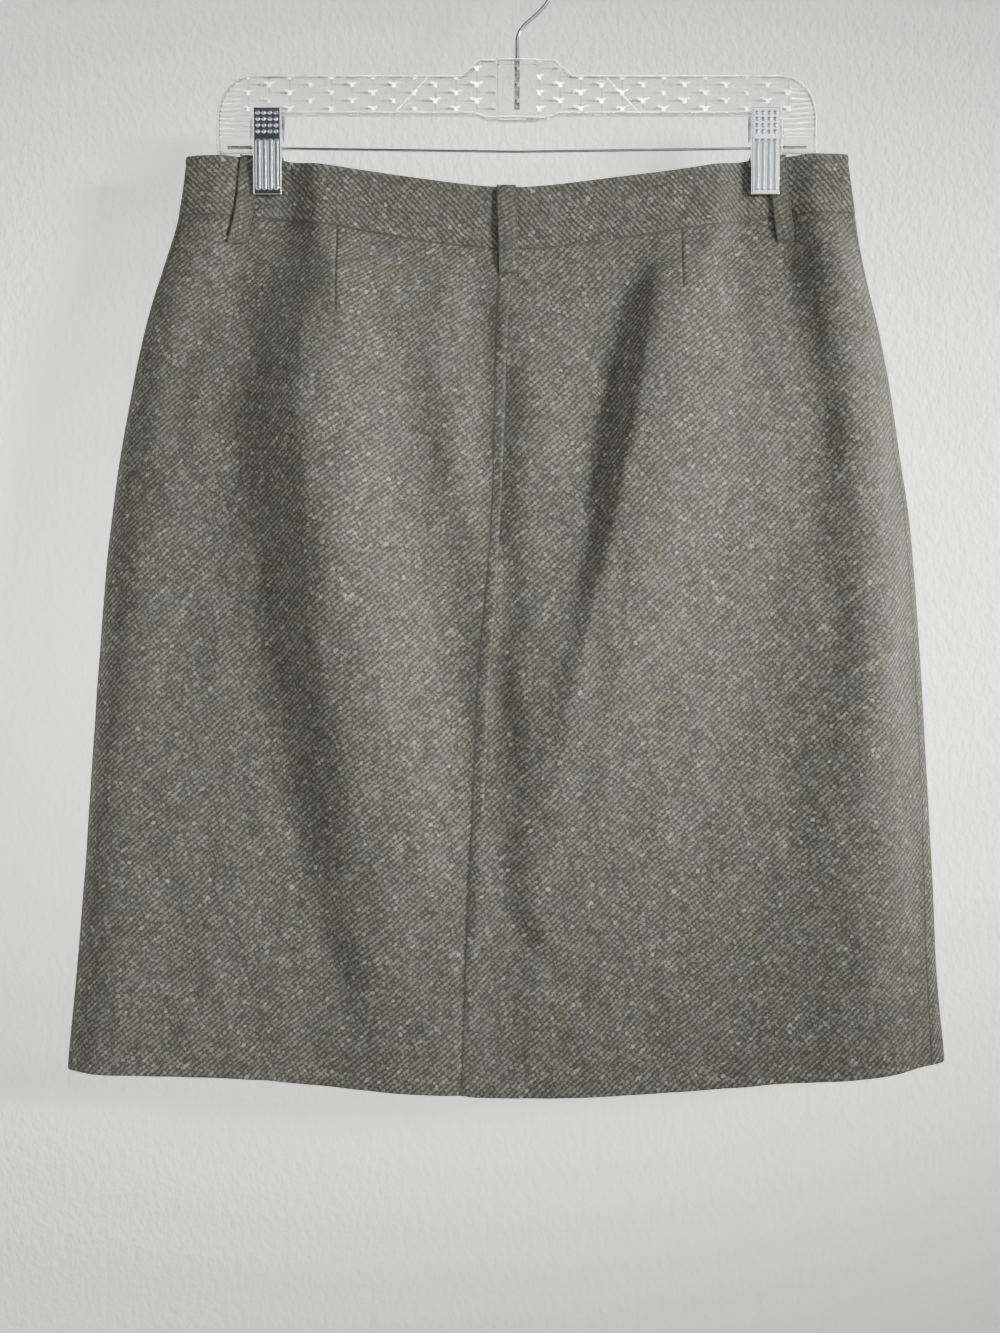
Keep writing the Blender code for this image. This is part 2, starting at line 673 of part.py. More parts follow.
def raised_forms(name):
    """Four ribs and four rows of dots on a plate's outer face, sunk a little into it."""
    shape = bmesh.new()
    for column in range(4):
        x = (column - 1.5) * RIB_PITCH
        half = RIB_WIDTH / 2
        made = box(shape, (x - half, -RAISED, RIB_BOTTOM), (x + half, SUNK, RIB_TOP))
        crown = [v for v in made if v.co.y < 0]
        centre = lean(-x, 0, -(RIB_TOP + RIB_BOTTOM) / 2)
        bmesh.ops.scale(shape, vec=RIB_CROWN, space=centre, verts=crown)
        for row in range(4):
            z = DOT_TOP - row * DOT_PITCH
            dome = bmesh.ops.create_cone(
                shape, cap_ends=True, segments=6,
                radius1=DOT_RADIUS * MM, radius2=DOT_RADIUS * DOT_CROWN * MM, depth=(RAISED + SUNK) * MM,
            )["verts"]
            place = lean(x, -(RAISED - SUNK) / 2, z) @ turn_to_front()
            bmesh.ops.transform(shape, matrix=place, verts=dome)
    mesh = bpy.data.meshes.new(name)
    shape.to_mesh(mesh)
    shape.free()
    return mesh


def lean(x, y, z):
    """A move in millimetres as a matrix."""
    return Matrix.Translation(Vector((x, y, z)) * MM)


def turn_to_front():
    """Turns +Z to -Y."""
    return Vector((0, -1, 0)).to_track_quat("Z", "Y").to_matrix().to_4x4()


def clip_plate(name, x, jaw, facing, ear_out):
    """A stamped plate that leans from the jaw to the finger end, with two ears round the wire.
    facing is -1 for the plate at the back of the skirt and 1 for the one next to the wall."""
    height = PLATE_TOP - PLATE_BOTTOM
    slope = math.atan2(PLATE_SPREAD - PLATE_WALL - jaw, height)
    shape = bmesh.new()
    half = PLATE_WIDTH / 2
    box(shape, (-half, 0, PLATE_BOTTOM), (half, PLATE_WALL, PLATE_TOP))
    mesh = bpy.data.meshes.new(name)
    shape.to_mesh(mesh)
    shape.free()
    plate = add_object(name, mesh, zinc)
    forms = helper(f"{name}_forms", raised_forms(f"{name}_forms"))
    for made in (plate, forms):
        for vertex in made.data.vertices:
            y = vertex.co.y / MM
            up = vertex.co.z / MM - PLATE_BOTTOM
            vertex.co.y = (y - jaw - PLATE_WALL - math.tan(slope) * up) * MM
            vertex.co.x += x * MM
            if facing > 0:
                vertex.co.y *= -1
        if facing > 0:
            made.data.flip_normals()
    apply_boolean(plate, forms, "UNION")
    ear_z = wire_z(x)
    deep = jaw + PLATE_WALL / 2 + math.tan(slope) * (ear_z - PLATE_BOTTOM)
    shape = bmesh.new()
    for side in (-1, 1):
        edge = side * (half - ear_out)
        low, high = sorted((edge, edge - side * PLATE_WALL))
        near, past = sorted((facing * deep, -facing * EAR_PAST_WIRE))
        box(shape, (x + low, near, ear_z - EAR_HALF), (x + high, past, ear_z + EAR_HALF))
    mesh = bpy.data.meshes.new(f"{name}_ears")
    shape.to_mesh(mesh)
    shape.free()
    apply_boolean(plate, helper(f"{name}_ears", mesh), "UNION")
    start = (x - half - 2, 0, wire_z(x - half))
    end = (x + half + 2, 0, wire_z(x + half))
    hole = helper(f"{name}_hole", cylinder(f"{name}_hole", WIRE_RADIUS + GAP, start, end, 12))
    apply_boolean(plate, hole, "DIFFERENCE")


def clip_spring(name, x):
    """A short coil round the wire, as a turned sleeve."""
    inner = WIRE_RADIUS + GAP
    half = SPRING_HALF
    profile = [(SPRING_RADIUS, half), (SPRING_RADIUS, -half), (inner, -half), (inner, half)]
    mesh = bpy.data.meshes.new(name)
    mesh.from_pydata([(r * MM, 0, z * MM) for r, z in profile], [(0, 1), (1, 2), (2, 3), (3, 0)], [])
    made = add_object(name, mesh, steel)
    screw = made.modifiers.new("turn", "SCREW")
    screw.steps = 12
    screw.render_steps = 12
    screw.use_merge_vertices = True
    screw.merge_threshold = 0.00001
    made.rotation_euler = (0, math.pi / 2, 0)
    made.location = Vector((x, 0, wire_z(x))) * MM


back_left()
back_right()
front()
waistband()
belt_loops()
hanger()
hook()
hanger_wire()
for clip in CLIPS:
    clip_plate(f"{clip['name']}_front", clip["x"], FRONT_JAW, -1, 0.0)
    clip_plate(f"{clip['name']}_rear", clip["x"], REAR_JAW, 1, PLATE_WALL + GAP)
    clip_spring(f"{clip['name']}_spring", clip["x"])
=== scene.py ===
# A wool twill pencil skirt on a clear clip hanger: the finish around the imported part.
# Sizes are millimetres in the part's own frame: origin at the inner top of the hook, +Z up,
# the skirt's back towards -Y. They become metres where a mesh is made.

import math

import bpy
import numpy as np
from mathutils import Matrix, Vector


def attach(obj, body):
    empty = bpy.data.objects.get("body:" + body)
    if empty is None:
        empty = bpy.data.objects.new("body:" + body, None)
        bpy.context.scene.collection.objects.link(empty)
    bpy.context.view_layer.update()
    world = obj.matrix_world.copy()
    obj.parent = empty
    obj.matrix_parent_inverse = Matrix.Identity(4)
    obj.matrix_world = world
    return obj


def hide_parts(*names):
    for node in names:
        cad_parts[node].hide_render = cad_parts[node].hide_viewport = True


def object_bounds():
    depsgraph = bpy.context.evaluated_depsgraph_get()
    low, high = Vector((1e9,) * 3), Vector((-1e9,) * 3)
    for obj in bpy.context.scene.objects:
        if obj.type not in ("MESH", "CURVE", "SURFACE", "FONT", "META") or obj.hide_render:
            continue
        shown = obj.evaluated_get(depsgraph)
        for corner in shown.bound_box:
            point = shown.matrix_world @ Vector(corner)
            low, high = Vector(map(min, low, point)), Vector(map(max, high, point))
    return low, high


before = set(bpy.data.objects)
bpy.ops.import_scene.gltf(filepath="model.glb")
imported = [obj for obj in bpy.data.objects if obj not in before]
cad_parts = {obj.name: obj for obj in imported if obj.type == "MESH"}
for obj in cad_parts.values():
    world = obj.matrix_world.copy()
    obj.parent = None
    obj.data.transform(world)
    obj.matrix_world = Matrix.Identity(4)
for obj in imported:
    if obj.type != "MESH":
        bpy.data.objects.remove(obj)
cadBox = [[float(value) for value in corner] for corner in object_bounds()]

mm = 0.001
layerGap = 0.3
sewnGap = 0.05
print("frame loaded")

# camera: level, square to the wall, at arm's length
shot = dict(x=-10.1, z=-425.9, distance=900.0, lens=41.0, sensor=36.0)


def placeCamera():
    # level, at its distance in front of the hanger, looking along +Y
    lens = bpy.data.cameras.new("camera")
    lens.sensor_width = shot["sensor"]
    lens.lens = shot["lens"]
    camera = bpy.data.objects.new("camera", lens)
    camera.location = (shot["x"] * mm, -shot["distance"] * mm, shot["z"] * mm)
    camera.rotation_euler = (math.pi / 2, 0.0, 0.0)
    bpy.context.scene.collection.objects.link(camera)
    bpy.context.scene.camera = camera


placeCamera()

# ---- node helpers: each adds one node and gives back its output ----


class NodeValue:
    # a node's output; each +, -, * or / with it adds one Math node
    def __init__(self, tree, socket):
        self.tree = tree
        self.socket = socket

    def __add__(self, other):
        return calc(self.tree, "ADD", self, other)

    def __sub__(self, other):
        return calc(self.tree, "SUBTRACT", self, other)

    def __rsub__(self, other):
        return calc(self.tree, "SUBTRACT", other, self)

    def __mul__(self, other):
        return calc(self.tree, "MULTIPLY", self, other)

    def __truediv__(self, other):
        return calc(self.tree, "DIVIDE", self, other)


def join(tree, value, socket):
    # an output is linked, a number or a colour is set
    if isinstance(value, NodeValue):
        tree.links.new(value.socket, socket)
    elif isinstance(value, tuple) and len(value) == 3 and socket.type == "RGBA":
        socket.default_value = (*value, 1.0)
    else:
        socket.default_value = value


def addNode(tree, kind, *values, output=0, **settings):
    # the values go to the node's first sockets in order
    node = tree.nodes.new("ShaderNode" + kind)
    for setting, value in settings.items():
        setattr(node, setting, value)
    for value, socket in zip(values, node.inputs):
        join(tree, value, socket)
    return NodeValue(tree, node.outputs[output])


def calc(tree, operation, *values):
    return addNode(tree, "Math", *values, operation=operation)


def vector(tree, operation, *values):
    output = "Value" if operation == "DOT_PRODUCT" else "Vector"
    return addNode(tree, "VectorMath", *values, output=output, operation=operation)


def combine(tree, x, y, z=0.0):
    return addNode(tree, "CombineXYZ", x, y, z)


def separate(tree, place):
    node = addNode(tree, "SeparateXYZ", place).socket.node
    return [NodeValue(tree, output) for output in node.outputs]


def attribute(tree, name, output="Fac"):
    return addNode(tree, "Attribute", output=output, attribute_name=name)


def objectPlace(tree):
    return addNode(tree, "TexCoord", output="Object")


def noise(tree, place, scale, detail=2.0, output="Fac"):
    made = addNode(tree, "TexNoise", place, output=output)
    for name, value in (("Scale", scale), ("Detail", detail)):
        join(tree, value, made.socket.node.inputs[name])
    return made


def chanceOf(tree, cell, dimensions="2D"):
    # a chance number from 0 to 1 for each whole-numbered cell
    node = tree.nodes.new("ShaderNodeTexWhiteNoise")
    node.noise_dimensions = dimensions
    join(tree, cell, node.inputs["W" if dimensions == "1D" else "Vector"])
    return NodeValue(tree, node.outputs["Value"])


def span(tree, value, low, high, start=0.0, end=1.0, soft=False):
    # carries low..high over to start..end, held at both ends
    kind = "SMOOTHSTEP" if soft else "LINEAR"
    return addNode(tree, "MapRange", value, low, high, start, end, interpolation_type=kind)


def nearLine(tree, distance, width):
    # 1 on a line, 0 from its width on
    return span(tree, calc(tree, "ABSOLUTE", distance), 0.0, width, 1.0, 0.0, soft=True)


def mixed(tree, share, first, second, blend="MIX"):
    node = tree.nodes.new("ShaderNodeMix")
    node.data_type = "RGBA"
    node.blend_type = blend
    for value, index in ((share, 0), (first, 6), (second, 7)):
        join(tree, value, node.inputs[index])
    return NodeValue(tree, node.outputs[2])


def ramp(tree, value, stops, stepped=False):
    node = tree.nodes.new("ShaderNodeValToRGB")
    node.color_ramp.interpolation = "CONSTANT" if stepped else "LINEAR"
    elements = node.color_ramp.elements
    while len(elements) < len(stops):
        elements.new(0.5)
    for element, (place, color) in zip(elements, stops):
        element.position = place
        element.color = (*color, 1.0)
    join(tree, value, node.inputs[0])
    return NodeValue(tree, node.outputs[0])


def bumped(tree, height, strength, distance):
    node = tree.nodes.new("ShaderNodeBump")
    for name, value in (("Strength", strength), ("Distance", distance * mm), ("Height", height)):
        join(tree, value, node.inputs[name])
    return NodeValue(tree, node.outputs["Normal"])


def feed(shader, **values):
    # sets or links the shader's sockets, whose names have _ for each space
    for socket, value in values.items():
        join(shader.id_data, value, shader.inputs[socket.replace("_", " ")])


def newMaterial(name, **settings):
    # a Principled material with the sockets that are the same all over set on it
    material = bpy.data.materials.new(name)
    material.use_nodes = True
    shader = material.node_tree.nodes["Principled BSDF"]
    feed(shader, **settings)
    return material, material.node_tree, shader


# wool twill, in millimetres of cloth: rows of light dashes that climb to the right over darker
# yarn, how far noise pushes them about, and how much each thing adds to the light yarn's share
twill = dict(
    rowPitch=2.64, dashPitch=2.66, rowAngle=43.0, stroke=1.5, fibre=0.8, clump=0.17, patch=24.0,
    pushes=((0.045, 2.0, 3.2), (0.16, 1.0, 1.24), (0.55, 1.0, 0.84)),
    rowShare=0.25, dashShare=0.07, strokeShare=1.3, fibreShare=1.25, clumpShare=0.5,
    darkYarn=(0.067, 0.066, 0.051),
    darkCool=(0.068, 0.069, 0.060),
    dashes=(
        (0.0, (0.236, 0.238, 0.204)), (0.36, (0.244, 0.244, 0.200)), (0.64, (0.208, 0.212, 0.168)),
        (0.86, (0.222, 0.208, 0.174)), (0.93, (0.370, 0.370, 0.325)),
    ),
    strengths=((0.0, (0.62,) * 3), (0.75, (0.88,) * 3), (0.93, (1.02,) * 3), (1.0, (1.4,) * 3)),
    hues=((0.996, 1.006, 0.974), (1.002, 1.002, 0.974), (0.992, 1.0, 1.016)),
    pressedYarn=0.36,
)


def woolTwill(name, look=twill):
    # rows = cos of the distance across the rows; each row has its own noise along it, which breaks
    # it into uneven strokes, and each cell of a row its own chance number, which picks its yarn
    material, tree, shader = newMaterial(
        name, Roughness=0.92, Specular_IOR_Level=0.15,
        Sheen_Weight=0.16, Sheen_Roughness=0.5, Sheen_Tint=(0.93, 0.93, 0.88),
    )
    x, y, press = separate(tree, attribute(tree, "weave", "Vector"))
    flat = combine(tree, x, y)
    place = flat
    for scale, detail, amount in look["pushes"]:
        push = vector(tree, "SUBTRACT", noise(tree, flat, scale, detail, "Color"), (0.5, 0.5, 0.5))
        place = vector(tree, "ADD", place, vector(tree, "MULTIPLY", push, (amount,) * 3))
    turn = math.radians(look["rowAngle"])
    along = vector(tree, "DOT_PRODUCT", place, (math.cos(turn), math.sin(turn), 0.0))
    across = vector(tree, "DOT_PRODUCT", place, (-math.sin(turn), math.cos(turn), 0.0))
    row = across / look["rowPitch"]
    rowCell = calc(tree, "ROUND", row)
    rows = calc(tree, "COSINE", row * (2 * math.pi))
    phase = along / look["dashPitch"] + chanceOf(tree, rowCell, "1D")
    dashCell = calc(tree, "ROUND", phase)
    dashes = calc(tree, "COSINE", phase * (2 * math.pi))
    strengthChance = chanceOf(tree, combine(tree, rowCell, dashCell))
    colorChance = chanceOf(tree, combine(tree, rowCell + 517.0, dashCell))

    stroke = noise(tree, combine(tree, along / look["stroke"], rowCell * 5.7), 1.0, 1.0)
    fibre = noise(tree, flat, look["fibre"], 2.0)
    clump = noise(tree, flat, look["clump"], 2.0)
    level = rows * look["rowShare"] + dashes * look["dashShare"]
    for some, share in ((stroke, "strokeShare"), (fibre, "fibreShare"), (clump, "clumpShare")):
        level = level + (some - 0.5) * look[share]
    yarn = span(tree, level, -0.30, 0.44, soft=True) * ramp(tree, strengthChance, look["strengths"])
    yarn = yarn + (look["pressedYarn"] - yarn) * (press * 0.8)

    patch = noise(tree, flat, 1.0 / look["patch"], 3.0)
    coolness = span(tree, patch, 0.38, 0.64, soft=True)
    ground = mixed(tree, coolness, look["darkYarn"], look["darkCool"])
    color = mixed(tree, yarn, ground, ramp(tree, colorChance, look["dashes"], stepped=True))
    otherPatch = noise(tree, vector(tree, "ADD", flat, (300.0, 80.0, 0.0)), 1.0 / look["patch"], 3.0)
    green, brown, blue = look["hues"]
    warm = mixed(tree, span(tree, otherPatch, 0.36, 0.66, soft=True), green, brown)
    color = mixed(tree, 1.0, color, mixed(tree, coolness, warm, blue), "MULTIPLY")
    # soft clouds of tone at random, and where the cloth is pressed it is darker: painted shade in the seams,
    # along sewn edges and stitch lines, and in the dart grooves
    cloud = span(tree, noise(tree, flat, 0.075, 3.0), 0.25, 0.75, 0.90, 1.10)
    toneAndSeamShade = cloud * span(tree, press, 0.0, 1.0, 1.0, 0.62)
    color = mixed(tree, 1.0, color, combine(tree, toneAndSeamShade, toneAndSeamShade, toneAndSeamShade), "MULTIPLY")
    relief = rows * 0.5 + (fibre + stroke)
    feed(shader, Base_Color=color, Normal=bumped(tree, relief, 0.5, 0.26))
    return material


# the clear hanger's moulded pattern, in millimetres: star points on a lattice that joins every
# other place, ribs across the legs, a slanting step each side of the boss, its ring and its slot;
# towards is the normal that mirrors the key light into the camera where highlights are painted,
# line the colour of the painted shade lines and the last colour that of the painted highlights
stars = dict(
    x=-146.75, z=-81.5, wide=12.3, high=4.75, peak=1.15, lineX=1.24, lineZ=0.84, highlightSpot=1.615,
    foot=-98.5, side=161.0, ribPitch=2.9, bossZ=-84.8, bossRing=8.7, slot=3.4, slotFoot=-75.6,
    slantTop=53.0, slantFoot=69.0, slantHigh=-77.1, slantLow=-94.3,
    towards=(0.52, -0.829, -0.204), clear=(0.985, 0.985, 0.965), line=(0.04, 0.04, 0.036),
    paintedHighlight=(0.97, 0.98, 0.97),
)
hangerRim = 1.8


def clearPlastic(look=stars):
    # facets = four slopes about each star point and a fold on each diagonal, as a bump; painted shade
    # darkens the clear colour in lines along their edges, the rims, slants, boss and ribs, where
    # refraction would show dark lines, and painted highlights make bright metal-like spots whose normal
    # mirrors the key light
    material, tree, shader = newMaterial("clearPlastic", IOR=1.49, Transmission_Weight=1.0)
    source = objectPlace(tree)
    x, y, z = separate(tree, vector(tree, "MULTIPLY", source, (1000.0,) * 3))
    u = (x - look["x"]) / look["wide"]
    v = (z - look["z"]) / look["high"]
    sumCell = calc(tree, "ROUND", (u + v) * 0.5)
    lessCell = calc(tree, "ROUND", (u - v) * 0.5)
    column = sumCell + lessCell
    row = sumCell - lessCell
    du = u - column
    dv = v - row
    wideAway = calc(tree, "ABSOLUTE", du)
    highAway = calc(tree, "ABSOLUTE", dv)
    reach = wideAway + highAway
    chance = chanceOf(tree, combine(tree, column, row))
    rim = attribute(tree, "rimAway")

    # where the lattice shows: the bar's web on the viewer's side, clear of the boss and the legs
    front = span(tree, y, -0.6, -0.4, 1.0, 0.0)
    web = span(tree, y, -2.4, -2.2) * front
    sideways = calc(tree, "ABSOLUTE", x)
    bar = span(tree, z, look["foot"] - 1, look["foot"])
    bar = bar * span(tree, sideways, look["side"], look["side"] + 4, 1.0, 0.0) * web
    leg = web * (1.0 - bar)

    wander = noise(tree, vector(tree, "MULTIPLY", source, (60.0, 60.0, 190.0)), 1.0, 2.0)
    ribs = calc(tree, "SINE", z * (2 * math.pi / look["ribPitch"]) + wander * 9.0)
    facet = (1.0 - (reach - calc(tree, "MINIMUM", wideAway, highAway) * 0.7)) * look["peak"]
    height = facet * bar + ribs * leg * 0.22 + noise(tree, source, 190.0, 2.0) * 0.35

    lean = (look["slantFoot"] - look["slantTop"]) / (look["slantHigh"] - look["slantLow"])
    slant = sideways - look["slantTop"] - (look["slantHigh"] - z) * lean
    fromBoss = z - look["bossZ"]
    around = calc(tree, "SQRT", x * x + fromBoss * fromBoss)
    ring = nearLine(tree, around - look["bossRing"], 0.6) * front
    inSlot = span(tree, z, look["slotFoot"] - 0.3, look["slotFoot"]) * front
    slotWall = nearLine(tree, sideways - look["slot"], 0.7) * inSlot

    upright = nearLine(tree, du * look["wide"], look["lineX"]) * bar
    level = nearLine(tree, dv * look["high"], look["lineZ"]) * bar
    highlightRay = nearLine(tree, (wideAway - highAway) * look["high"] + 0.6, 1.05) * bar
    near = span(tree, reach, 0.0, 1.0, 1.0, 0.0)
    left = span(tree, du, -0.04, 0.04, 1.0, 0.0)
    upper = span(tree, dv, -0.02, 0.02)

    shade = near * left * nearLine(tree, highAway - wideAway * 0.45, 0.42)
    # painted shade: dark lines on the facet edges and a wedge left of each star, the rim, slants, boss ring,
    # slot and ribs
    paintedDark = upright * 0.75 + level * (left * 0.45 + 0.4) + shade * bar * 1.1
    paintedDark = paintedDark + nearLine(tree, rim - hangerRim, 0.45)
    paintedDark = paintedDark + nearLine(tree, slant - 1.0, 0.7) * bar * 0.6 + (ring + slotWall) * 0.7
    paintedDark = (paintedDark + span(tree, ribs, 0.6, 1.0) * leg * 0.85) * (chance * 0.6 + 0.55)
    color = mixed(tree, span(tree, paintedDark, 0.0, 1.1), look["clear"], look["line"])

    # painted highlights: wedges and spots at the stars, lines along the rim and slants, rib tops and random
    # flecks
    highlightWedge = highlightRay * near * (upper * 0.7 + 0.4) + left * upper * near * bar * 0.22
    pointX = du * look["wide"]
    pointZ = (dv + 0.10) * look["high"]
    highlightSpot = span(tree, pointX * pointX + pointZ * pointZ, 0.2, look["highlightSpot"], 1.0, 0.0)
    paintedHighlight = (highlightWedge + highlightSpot * bar * 0.9) * (chance * 0.75 + 0.45)
    paintedHighlight = paintedHighlight + nearLine(tree, rim - 0.75, 0.5) * 0.5 + nearLine(tree, slant, 0.7) * bar * 0.6
    paintedHighlight = paintedHighlight + span(tree, ribs, -1.0, -0.7, 1.0, 0.0) * leg * 0.8
    paintedHighlight = paintedHighlight + span(tree, noise(tree, source, 700.0, 2.0), 0.56, 0.72) * web * 0.35
    paintedGlint = span(tree, paintedHighlight, 0.1, 1.0, 0.0, 0.26)
    paintedGlintShare = span(tree, paintedGlint, 0.0, 0.1)
    # where a highlight is painted the normal turns to the given direction that mirrors the key light, and the
    # colour turns white and metal-like
    facing = mixed(tree, paintedGlintShare, bumped(tree, height, 1.0, 1.0), combine(tree, *look["towards"]))
    feed(
        shader, Metallic=paintedGlint, Base_Color=mixed(tree, paintedGlintShare, color, look["paintedHighlight"]),
        Roughness=span(tree, paintedGlintShare, 0.0, 1.0, 0.03, 0.30), Normal=facing,
    )
    return material


def brightMetal(name, color, polish, stretch):
    # fine scratches: noise drawn out along one axis sets the roughness and a shallow bump; where
    # the press lifts the plate it is darker, bluer and rougher, in equal steps with the lift
    material, tree, shader = newMaterial(name, Metallic=1.0)
    source = objectPlace(tree)
    scratches = noise(tree, vector(tree, "MULTIPLY", source, stretch), 1.0, 4.0)
    clouds = span(tree, noise(tree, source, 120.0, 2.0), 0.3, 0.7)
    tint = mixed(tree, clouds, color, tuple(0.86 * value for value in color))
    lifted = span(tree, attribute(tree, "press"), 0.25, 0.85)
    rough = span(tree, scratches, 0.3, 0.7, polish, polish + 0.14) + lifted * 0.22
    feed(
        shader, Base_Color=mixed(tree, lifted, tint, (0.46, 0.50, 0.54)), Roughness=rough,
        Normal=bumped(tree, scratches, 0.12, 0.05),
    )
    return material


def threadMaterial():
    # fine noise makes the thread darker and lighter in small spots at random
    material, tree, shader = newMaterial("sewingThread", Roughness=0.7, Sheen_Weight=0.2)
    twist = noise(tree, objectPlace(tree), 2600.0, 1.0)
    feed(shader, Base_Color=mixed(tree, twist, (0.045, 0.044, 0.034), (0.105, 0.103, 0.084)))
    return material


tweed = woolTwill("woolTwill")
clear = clearPlastic()
zinc = brightMetal("zincPlate", (0.93, 0.94, 0.95), 0.10, (300.0, 300.0, 3000.0))
steel = brightMetal("steelWire", (0.66, 0.66, 0.67), 0.12, (900.0, 900.0, 900.0))
thread = threadMaterial()
print("materials made")

# ---- mesh helpers ----


def addPiece(name, points, faces, material, slot, replaces=(), smoothShade=True):
    # points in millimetres, faces as index rows, one object that rides on the part
    mesh = bpy.data.meshes.new(name)
    mesh.from_pydata((np.asarray(points) * mm).tolist(), [], faces)
    mesh.polygons.foreach_set("use_smooth", np.full(len(mesh.polygons), smoothShade))
    mesh.materials.append(material)
    mesh.update()
    piece = bpy.data.objects.new(name, mesh)
    bpy.context.scene.collection.objects.link(piece)
    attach(piece, "root")
    if replaces:
        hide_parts(*replaces)
    return piece


def placesOf(piece):
    # the piece's own points in millimetres
    places = np.empty(len(piece.data.vertices) * 3)
    piece.data.vertices.foreach_get("co", places)
    return places.reshape(-1, 3) / mm


def setField(piece, name, values):
    # a number or a triple kept at each of the piece's points
    kind, key = ("FLOAT_VECTOR", "vector") if values.ndim == 2 else ("FLOAT", "value")
    field = piece.data.attributes.new(name, kind, "POINT")
    field.data.foreach_set(key, values.astype(np.float32).ravel())


def gridFaces(rows, columns, closedRows=False, closedColumns=False):
    # quads of a grid of rows x columns points, wrapped round where it is closed
    index = np.arange(rows * columns).reshape(rows, columns)
    if closedRows:
        index = np.concatenate([index, index[:1]])
    if closedColumns:
        index = np.concatenate([index, index[:, :1]], axis=1)
    quads = np.stack([index[:-1, :-1], index[1:, :-1], index[1:, 1:], index[:-1, 1:]], axis=-1)
    return quads.reshape(-1, 4)


def surfaceNormals(points):
    # cross product of the slopes down and along a grid of points
    down = np.gradient(points, axis=0)
    along = np.gradient(points, axis=1)
    normal = np.cross(down, along)
    return normal / np.maximum(np.linalg.norm(normal, axis=-1, keepdims=True), 1e-9)


def lengthsAlong(points, axis):
    # distance travelled along the grid's rows (axis 1) or columns (axis 0)
    steps = np.linalg.norm(np.diff(points, axis=axis), axis=-1)
    total = np.cumsum(steps, axis=axis)
    first = np.zeros_like(np.take(total, [0], axis=axis))
    return np.concatenate([first, total], axis=axis)


def rounded(distance, radius):
    # a quarter circle: 0 at the edge, 1 from the radius on
    near = 1.0 - np.clip(distance / radius, 0.0, 1.0)
    return np.sqrt(1.0 - near * near)


def cutSize(middle, cells=None):
    # widest row, longest column and area of a cloth's middle, in metres
    quad = np.cross(middle[1:, 1:] - middle[:-1, :-1], middle[1:, :-1] - middle[:-1, 1:])
    area = np.linalg.norm(quad, axis=-1) / 2
    if cells is not None:
        area = np.where(cells, area, 0.0)
    width = lengthsAlong(middle, 1)[:, -1].max() * mm
    length = lengthsAlong(middle, 0)[-1].max() * mm
    return (float(width), float(length)), float(area.sum() * mm * mm)


# ---- the cloth's form: one closed tube, the same as the part's ----

sections = dict(
    drop=[0, 35, 60, 92, 130, 175, 222, 280, 350, 420, 490, 538],
    left=[-194.5, -199, -207, -217.5, -226, -234, -240.5, -245.5, -250.5, -255, -261, -266],
    right=[194.5, 199.5, 203, 210.5, 219, 225.5, 232.5, 237, 241, 245, 248, 253],
    near=[9, 11, 13, 17, 21, 24, 26, 26, 26, 24, 22, 21],
    far=[8, 9, 10, 12, 14, 17, 19, 20, 20, 20, 19, 18],
    sag=[21.5, 21, 20.5, 19.5, 18.5, 17.5, 16.5, 15.5, 14.5, 13.5, 12.5, 12],
    lift=[1.2, 1.2, 1.2, 1.3, 1.4, 1.5, 1.6, 1.8, 2.0, 2.2, 2.4, 2.5],
    seamIn=[2.4, 2.4, 2.6, 4.0, 5.5, 5.8, 5.8, 6.0, 6.3, 7.0, 8.5, 10.0],
)
sectionBlur = 14.0
leftSeamIn = 2.4
topCornerZ = -123.0
bandHeight = 35.0
skirtLength = 538.0
ventTop = 374.0
seamLine = dict(drop=[0, 48, 180, 300, 420, 538], x=[-12.4, -10.6, -14.2, -23.0, -29.0, -32.6])

# soft ridges: where the crest runs, how far it stands out, and how wide its two flanks are
backFolds = [
    dict(drop=(40, 110, 174, 263, 352, 411, 520), x=(-121, -120, -118, -112, -103, -92, -70),
         height=(10, 15, 16, 15, 11, 8, 5), flanks=(23, 40)),
    dict(drop=(40, 110, 174, 263, 352, 411, 470), x=(-108, -104, -98, -84, -68, -56, -48),
         height=(3, 7, 9, 11, 11, 7, 2), flanks=(42, 32)),
    dict(drop=(60, 100, 174, 240, 300), x=(-46, -42, -33, -27, -24), height=(0, 3, 5, 3, 0), flanks=(18, 14)),
    dict(drop=(60, 100, 174, 300, 411, 520), x=(8, 8, 8, 8, 12, 20),
         height=(0, 5, 6, 6, 4, 1), flanks=(14, 34)),
    dict(drop=(50, 78, 150, 230, 310, 380), x=(86, 82, 67, 50, 32, 18),
         height=(4, 8, 10, 9, 6, 0), flanks=(11, 40)),
    dict(drop=(50, 100, 200, 300, 400, 470), x=(104, 96, 80, 64, 52, 46),
         height=(4, 11, 17, 17, 10, 3), flanks=(50, 54)),
    dict(drop=(40, 78, 172, 263, 330, 420), x=(184, 188, 198, 204, 206, 206),
         height=(8, 10, 11, 8, 5, 1), flanks=(17, 22)),
    dict(drop=(180, 240, 330, 420, 500), x=(196, 200, 202, 204, 206),
         height=(0, 5, 9, 8, 5), flanks=(46, 24)),
]
frontFolds = [
    dict(drop=(40, 120, 240, 360, 480), x=(122, 118, 108, 98, 92), height=(5, 9, 9, 6, 3), flanks=(38, 24)),
    dict(drop=(60, 120, 220, 320), x=(72, 64, 50, 40), height=(2, 5, 5, 0), flanks=(34, 20)),
    dict(drop=(60, 130, 240, 380), x=(-66, -62, -52, -40), height=(2, 6, 7, 0), flanks=(22, 36)),
    dict(drop=(40, 120, 240, 380, 500), x=(-124, -122, -112, -102, -96),
         height=(5, 8, 9, 6, 3), flanks=(24, 40)),
]
foldBlur = 18.0
foldStart = 20.0
foldFull = 60.0
